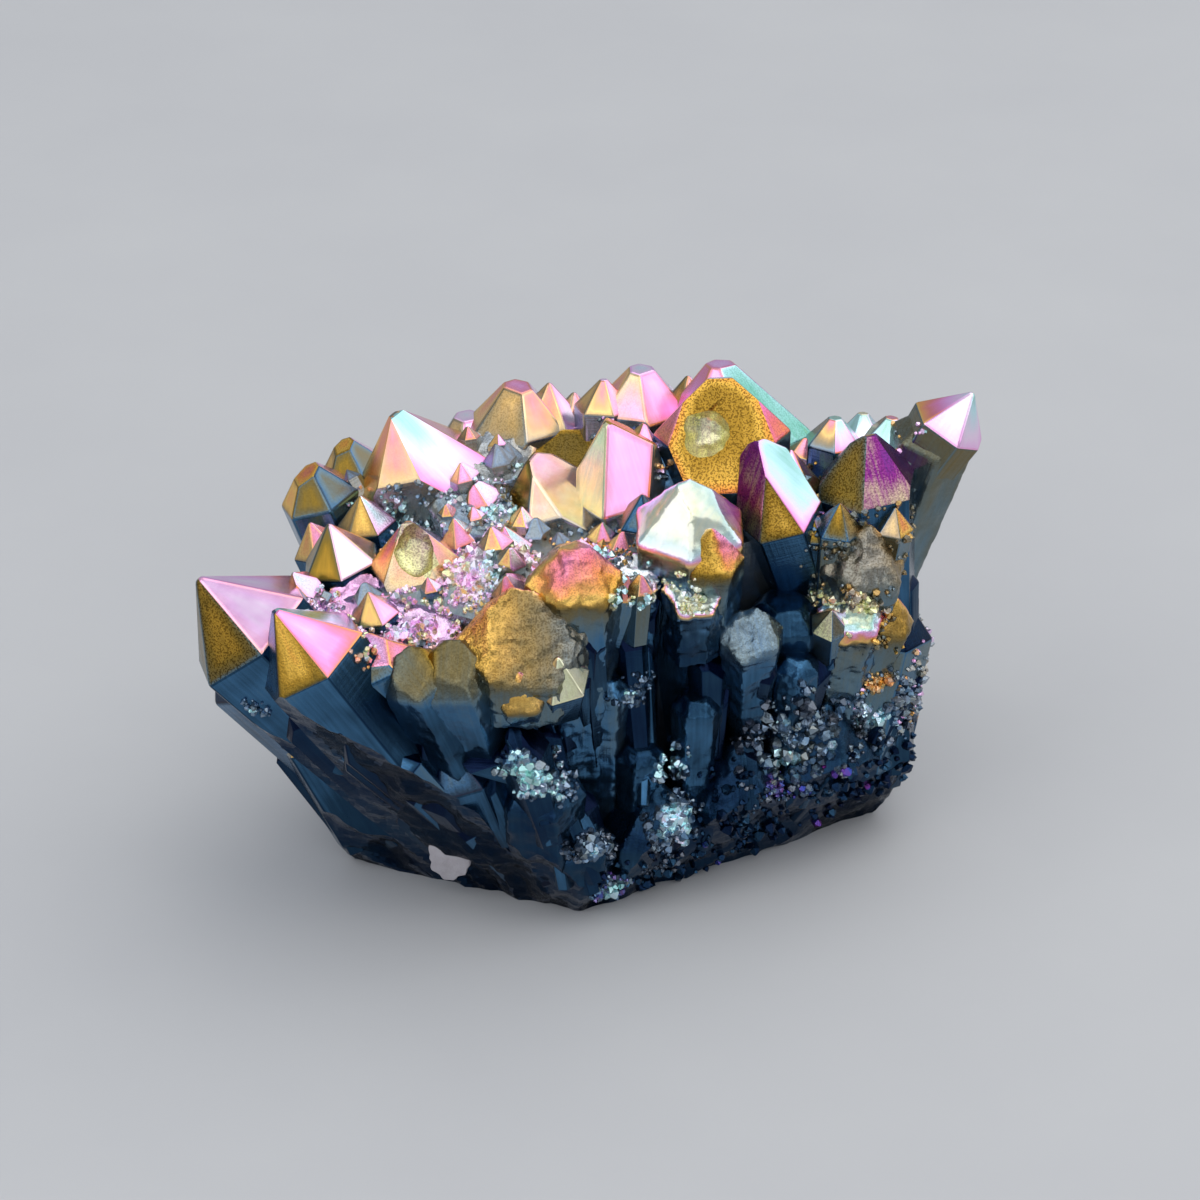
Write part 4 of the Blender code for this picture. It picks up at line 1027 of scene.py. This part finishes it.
# coat material
filmRun = [  # position along the run, colour of the film there
    (0, (0.002, 0.007, 0.030)), (5, (0.007, 0.027, 0.068)), (9, (0.018, 0.056, 0.106)),
    (13, (0.055, 0.160, 0.300)), (17, (0.130, 0.205, 0.250)), (21, (0.150, 0.155, 0.115)),
    (25, (0.170, 0.130, 0.050)), (30, (0.260, 0.165, 0.028)), (35, (0.500, 0.280, 0.035)),
    (40, (0.920, 0.540, 0.090)), (46, (0.920, 0.350, 0.070)), (52, (0.840, 0.200, 0.200)),
    (58, (0.920, 0.250, 0.560)), (64, (0.960, 0.440, 0.910)), (70, (0.960, 0.720, 0.970)),
    (76, (0.540, 0.900, 0.970)), (82, (0.190, 0.540, 0.420)), (88, (0.880, 0.860, 0.360)),
    (94, (0.260, 0.028, 0.230)), (100, (0.040, 0.070, 0.360)),
]


def newMaterial(name, x):
    material = bpy.data.materials.new(name)
    material.use_nodes = True
    tree = material.node_tree
    surface = tree.nodes["Principled BSDF"]
    surface.location = (x, 0)
    tree.nodes["Material Output"].location = (x + 300, 0)
    return material, tree, surface


def node(tree, kind, x, y, **settings):
    made = tree.nodes.new(kind)
    made.location = (x, y)
    for key, value in settings.items():
        setattr(made, key, value)
    return made


def feed(tree, socket, value):
    # a number or a colour is set on the socket, an output is linked to it
    if isinstance(value, (int, float, tuple)):
        socket.default_value = value
    else:
        tree.links.new(value, socket)


def mathNode(tree, operation, x, y, *values):
    made = node(tree, "ShaderNodeMath", x, y, operation=operation)
    for socket, value in zip(made.inputs, values):
        feed(tree, socket, value)
    return made.outputs[0]


def noiseNode(tree, x, y, vector, scale, detail=3.0, roughness=0.55):
    made = node(tree, "ShaderNodeTexNoise", x, y)
    for key, value in (("Scale", scale), ("Detail", detail), ("Roughness", roughness), ("Vector", vector)):
        feed(tree, made.inputs[key], value)
    return made.outputs["Fac"]


def mixColour(tree, x, y, factor, first, second, blend="MIX"):
    made = node(tree, "ShaderNodeMix", x, y, data_type="RGBA", blend_type=blend)
    for key, value in (("Factor", factor), ("A", first), ("B", second)):
        feed(tree, made.inputs[key], value)
    return made.outputs["Result"]


def stretched(tree, y, vector, scale):
    made = node(tree, "ShaderNodeMapping", -1200, y)
    feed(tree, made.inputs["Scale"], scale)
    feed(tree, made.inputs["Vector"], vector)
    return made.outputs[0]


def addBump(tree, x, height, strength, distance):
    bump = node(tree, "ShaderNodeBump", x, -300)
    for key, value in (("Strength", strength), ("Distance", distance), ("Height", height)):
        feed(tree, bump.inputs[key], value)
    tree.links.new(bump.outputs["Normal"], tree.nodes["Principled BSDF"].inputs["Normal"])


def coatedQuartz():
    material, tree, surface = newMaterial("coatedQuartz", 1400)
    place = node(tree, "ShaderNodeTexCoord", -1400, 0)
    here, faceMap = place.outputs["Object"], place.outputs["UV"]
    coat = node(tree, "ShaderNodeAttribute", -1400, 400, attribute_name="coat")
    parts = node(tree, "ShaderNodeSeparateColor", -1200, 400)
    tree.links.new(coat.outputs["Color"], parts.inputs[0])
    film, paintedGlare, grain = parts.outputs
    # slow drift of the film, fine stipple, long streaks down the columns and bands across them
    drift = noiseNode(tree, -1000, 300, here, 260, 2.0)
    clouds = noiseNode(tree, -1000, 100, here, 900, 4.0)
    stipple = noiseNode(tree, -1000, -100, here, 8500, 1.0, 0.6)
    streak = noiseNode(tree, -1000, -300, stretched(tree, -300, faceMap, (34, 1.6, 1)), 1.0, 4.0, 0.6)
    band = noiseNode(tree, -1000, -500, stretched(tree, -500, faceMap, (1.2, 40, 1)), 1.0, 3.0, 0.6)
    grainy = mathNode(tree, "MULTIPLY", -700, 0, stipple, grain)
    film = mathNode(tree, "MULTIPLY_ADD", -700, 400, drift, 0.10, film)
    film = mathNode(tree, "MULTIPLY_ADD", -550, 400, streak, 0.06, film)
    film = mathNode(tree, "MULTIPLY_ADD", -400, 400, grainy, 0.06, film)
    film = mathNode(tree, "SUBTRACT", -250, 400, film, 0.08)
    run = node(tree, "ShaderNodeValToRGB", -100, 400)
    tree.links.new(film, run.inputs["Fac"])
    stops = run.color_ramp.elements
    while len(stops) > 1:
        stops.remove(stops[-1])
    stops[0].position = 0
    stops[0].color = (*filmRun[0][1], 1)
    for position, colour in filmRun[1:]:
        stops.new(position / 100).color = (*colour, 1)
    # painted highlight: patches of the film washed toward white, standing in for a bright light's glare
    paintedGlarePatches = mathNode(tree, "MULTIPLY_ADD", -400, 100, clouds, 0.6, 0.25)
    paintedGlareAmount = mathNode(tree, "MULTIPLY", -250, 100, paintedGlarePatches, paintedGlare)
    washed = mixColour(tree, 250, 300, paintedGlareAmount, run.outputs["Color"], (1.0, 0.97, 0.96, 1.0))
    # dark specks where the face is stippled
    dots = mathNode(tree, "GREATER_THAN", -400, -100, stipple, 0.53)
    dotAmount = mathNode(tree, "MULTIPLY", -250, -100, dots, grain)
    dotSoft = mathNode(tree, "MULTIPLY", -100, -100, dotAmount, 0.75)
    specked = mixColour(tree, 450, 300, dotSoft, washed, (0.10, 0.075, 0.03, 1.0), "MULTIPLY")
    tree.links.new(specked, surface.inputs["Base Color"])
    # points shine a little more than the sides
    onPoint = mathNode(tree, "GREATER_THAN", 100, 600, coat.outputs["Alpha"], 0.25)
    metal = mathNode(tree, "MULTIPLY_ADD", 250, 600, onPoint, 0.04, 0.90)
    tree.links.new(metal, surface.inputs["Metallic"])
    surface.inputs["Specular IOR Level"].default_value = 0.4
    rough = mathNode(tree, "MULTIPLY_ADD", 450, -100, clouds, 0.18, 0.12)
    rougher = mathNode(tree, "MULTIPLY_ADD", 600, -100, grain, 0.18, rough)
    tree.links.new(rougher, surface.inputs["Roughness"])
    # relief: streaks and bands on the sides, stipple where grainy
    onSide = mathNode(tree, "LESS_THAN", 100, -450, coat.outputs["Alpha"], 0.25)
    relief = mathNode(tree, "MULTIPLY", 250, -300, streak, 0.5)
    relief = mathNode(tree, "MULTIPLY_ADD", 400, -300, band, 0.35, relief)
    relief = mathNode(tree, "MULTIPLY", 450, -450, relief, onSide)
    relief = mathNode(tree, "MULTIPLY_ADD", 550, -300, grainy, 0.8, relief)
    relief = mathNode(tree, "MULTIPLY_ADD", 700, -300, clouds, 0.15, relief)
    addBump(tree, 1000, relief, 0.35, 0.00016)
    return material


def bareQuartz():
    material, tree, surface = newMaterial("bareQuartz", 600)
    here = node(tree, "ShaderNodeTexCoord", -800, 0).outputs["Object"]
    clouds = noiseNode(tree, -600, 100, here, 1100, 4.0)
    sugar = noiseNode(tree, -600, -150, here, 6500, 2.0, 0.7)
    colour = mixColour(tree, -200, 100, clouds, (0.33, 0.29, 0.31, 1.0), (0.62, 0.60, 0.63, 1.0))
    tree.links.new(colour, surface.inputs["Base Color"])
    rough = mathNode(tree, "MULTIPLY_ADD", -200, -150, sugar, 0.25, 0.35)
    tree.links.new(rough, surface.inputs["Roughness"])
    addBump(tree, 300, sugar, 0.4, 0.00015)
    return material


coated, bare = coatedQuartz(), bareQuartz()
for piece in pieces:
    piece.data.materials.clear()
    piece.data.materials.append(bare if piece == flake else coated)
    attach(piece, "root")
    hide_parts("quartz_cluster")
print("pieces dressed", len(pieces))


# floor, light, camera
def paleFloor():
    bpy.ops.mesh.primitive_plane_add(size=1.6, location=(0, 0, 0))
    floor = bpy.context.object
    floor.name = "paleFloor"
    material, tree, surface = newMaterial("paleTable", 0)
    place = node(tree, "ShaderNodeTexCoord", -800, 0)
    fine = noiseNode(tree, -600, 0, place.outputs["Object"], 40, 4.0)
    colour = mixColour(tree, -300, 0, fine, (0.50, 0.50, 0.51, 1), (0.56, 0.56, 0.56, 1))
    tree.links.new(colour, surface.inputs["Base Color"])
    surface.inputs["Roughness"].default_value = 0.7
    floor.data.materials.append(material)


lights = {  # place in metres, side in metres, watts, colour
    "key": ((0.34, 0.12, 0.42), 0.90, 1.9, (1.0, 0.98, 0.95)),
    "overhead": ((0.0, 0.10, 0.50), 0.70, 0.4, (1.0, 1.0, 1.0)),
    "frontTop": ((0.02, -0.42, 0.50), 0.75, 1.15, (1.0, 1.0, 1.0)),
    "left": ((-0.40, -0.20, 0.40), 0.55, 0.80, (0.97, 0.98, 1.0)),
    "front": ((0.10, -0.60, 0.16), 0.40, 0.14, (0.75, 0.88, 1.0)),
}
sky = {"colour": (0.82, 0.89, 1.0, 1), "strength": 0.48}


def addLights():
    for name, (spot, size, power, colour) in lights.items():
        bpy.ops.object.light_add(type="AREA", location=spot)
        lamp = bpy.context.object
        lamp.name = name + "Light"
        lamp.data.shape = "SQUARE"
        lamp.data.size = size
        lamp.data.energy = power
        lamp.data.color = colour
        lamp.rotation_euler = (Vector((0, 0, 0.015)) - Vector(spot)).to_track_quat("-Z", "Y").to_euler()
    world = bpy.data.worlds.new("studio")
    bpy.context.scene.world = world
    world.use_nodes = True
    background = world.node_tree.nodes["Background"]
    background.inputs["Color"].default_value = sky["colour"]
    background.inputs["Strength"].default_value = sky["strength"]


view = {"target": (0.476, -1.366, 17.8), "distance": 253.2, "elevation": 30.0, "lens": 120.0}  # mm, degrees


def addCamera():
    spot = (Vector(view["target"]) + direction(-90, view["elevation"]) * view["distance"]) * mm
    bpy.ops.object.camera_add(location=spot, rotation=(math.radians(90 - view["elevation"]), 0, 0))
    camera = bpy.context.object
    camera.data.lens = view["lens"]
    camera.data.sensor_width = 36
    camera.data.clip_start = 0.01
    bpy.context.scene.camera = camera


deselectAll()
paleFloor()
addLights()
addCamera()
bpy.context.scene.view_settings.view_transform = "Standard"
print("stage, lights and camera set")
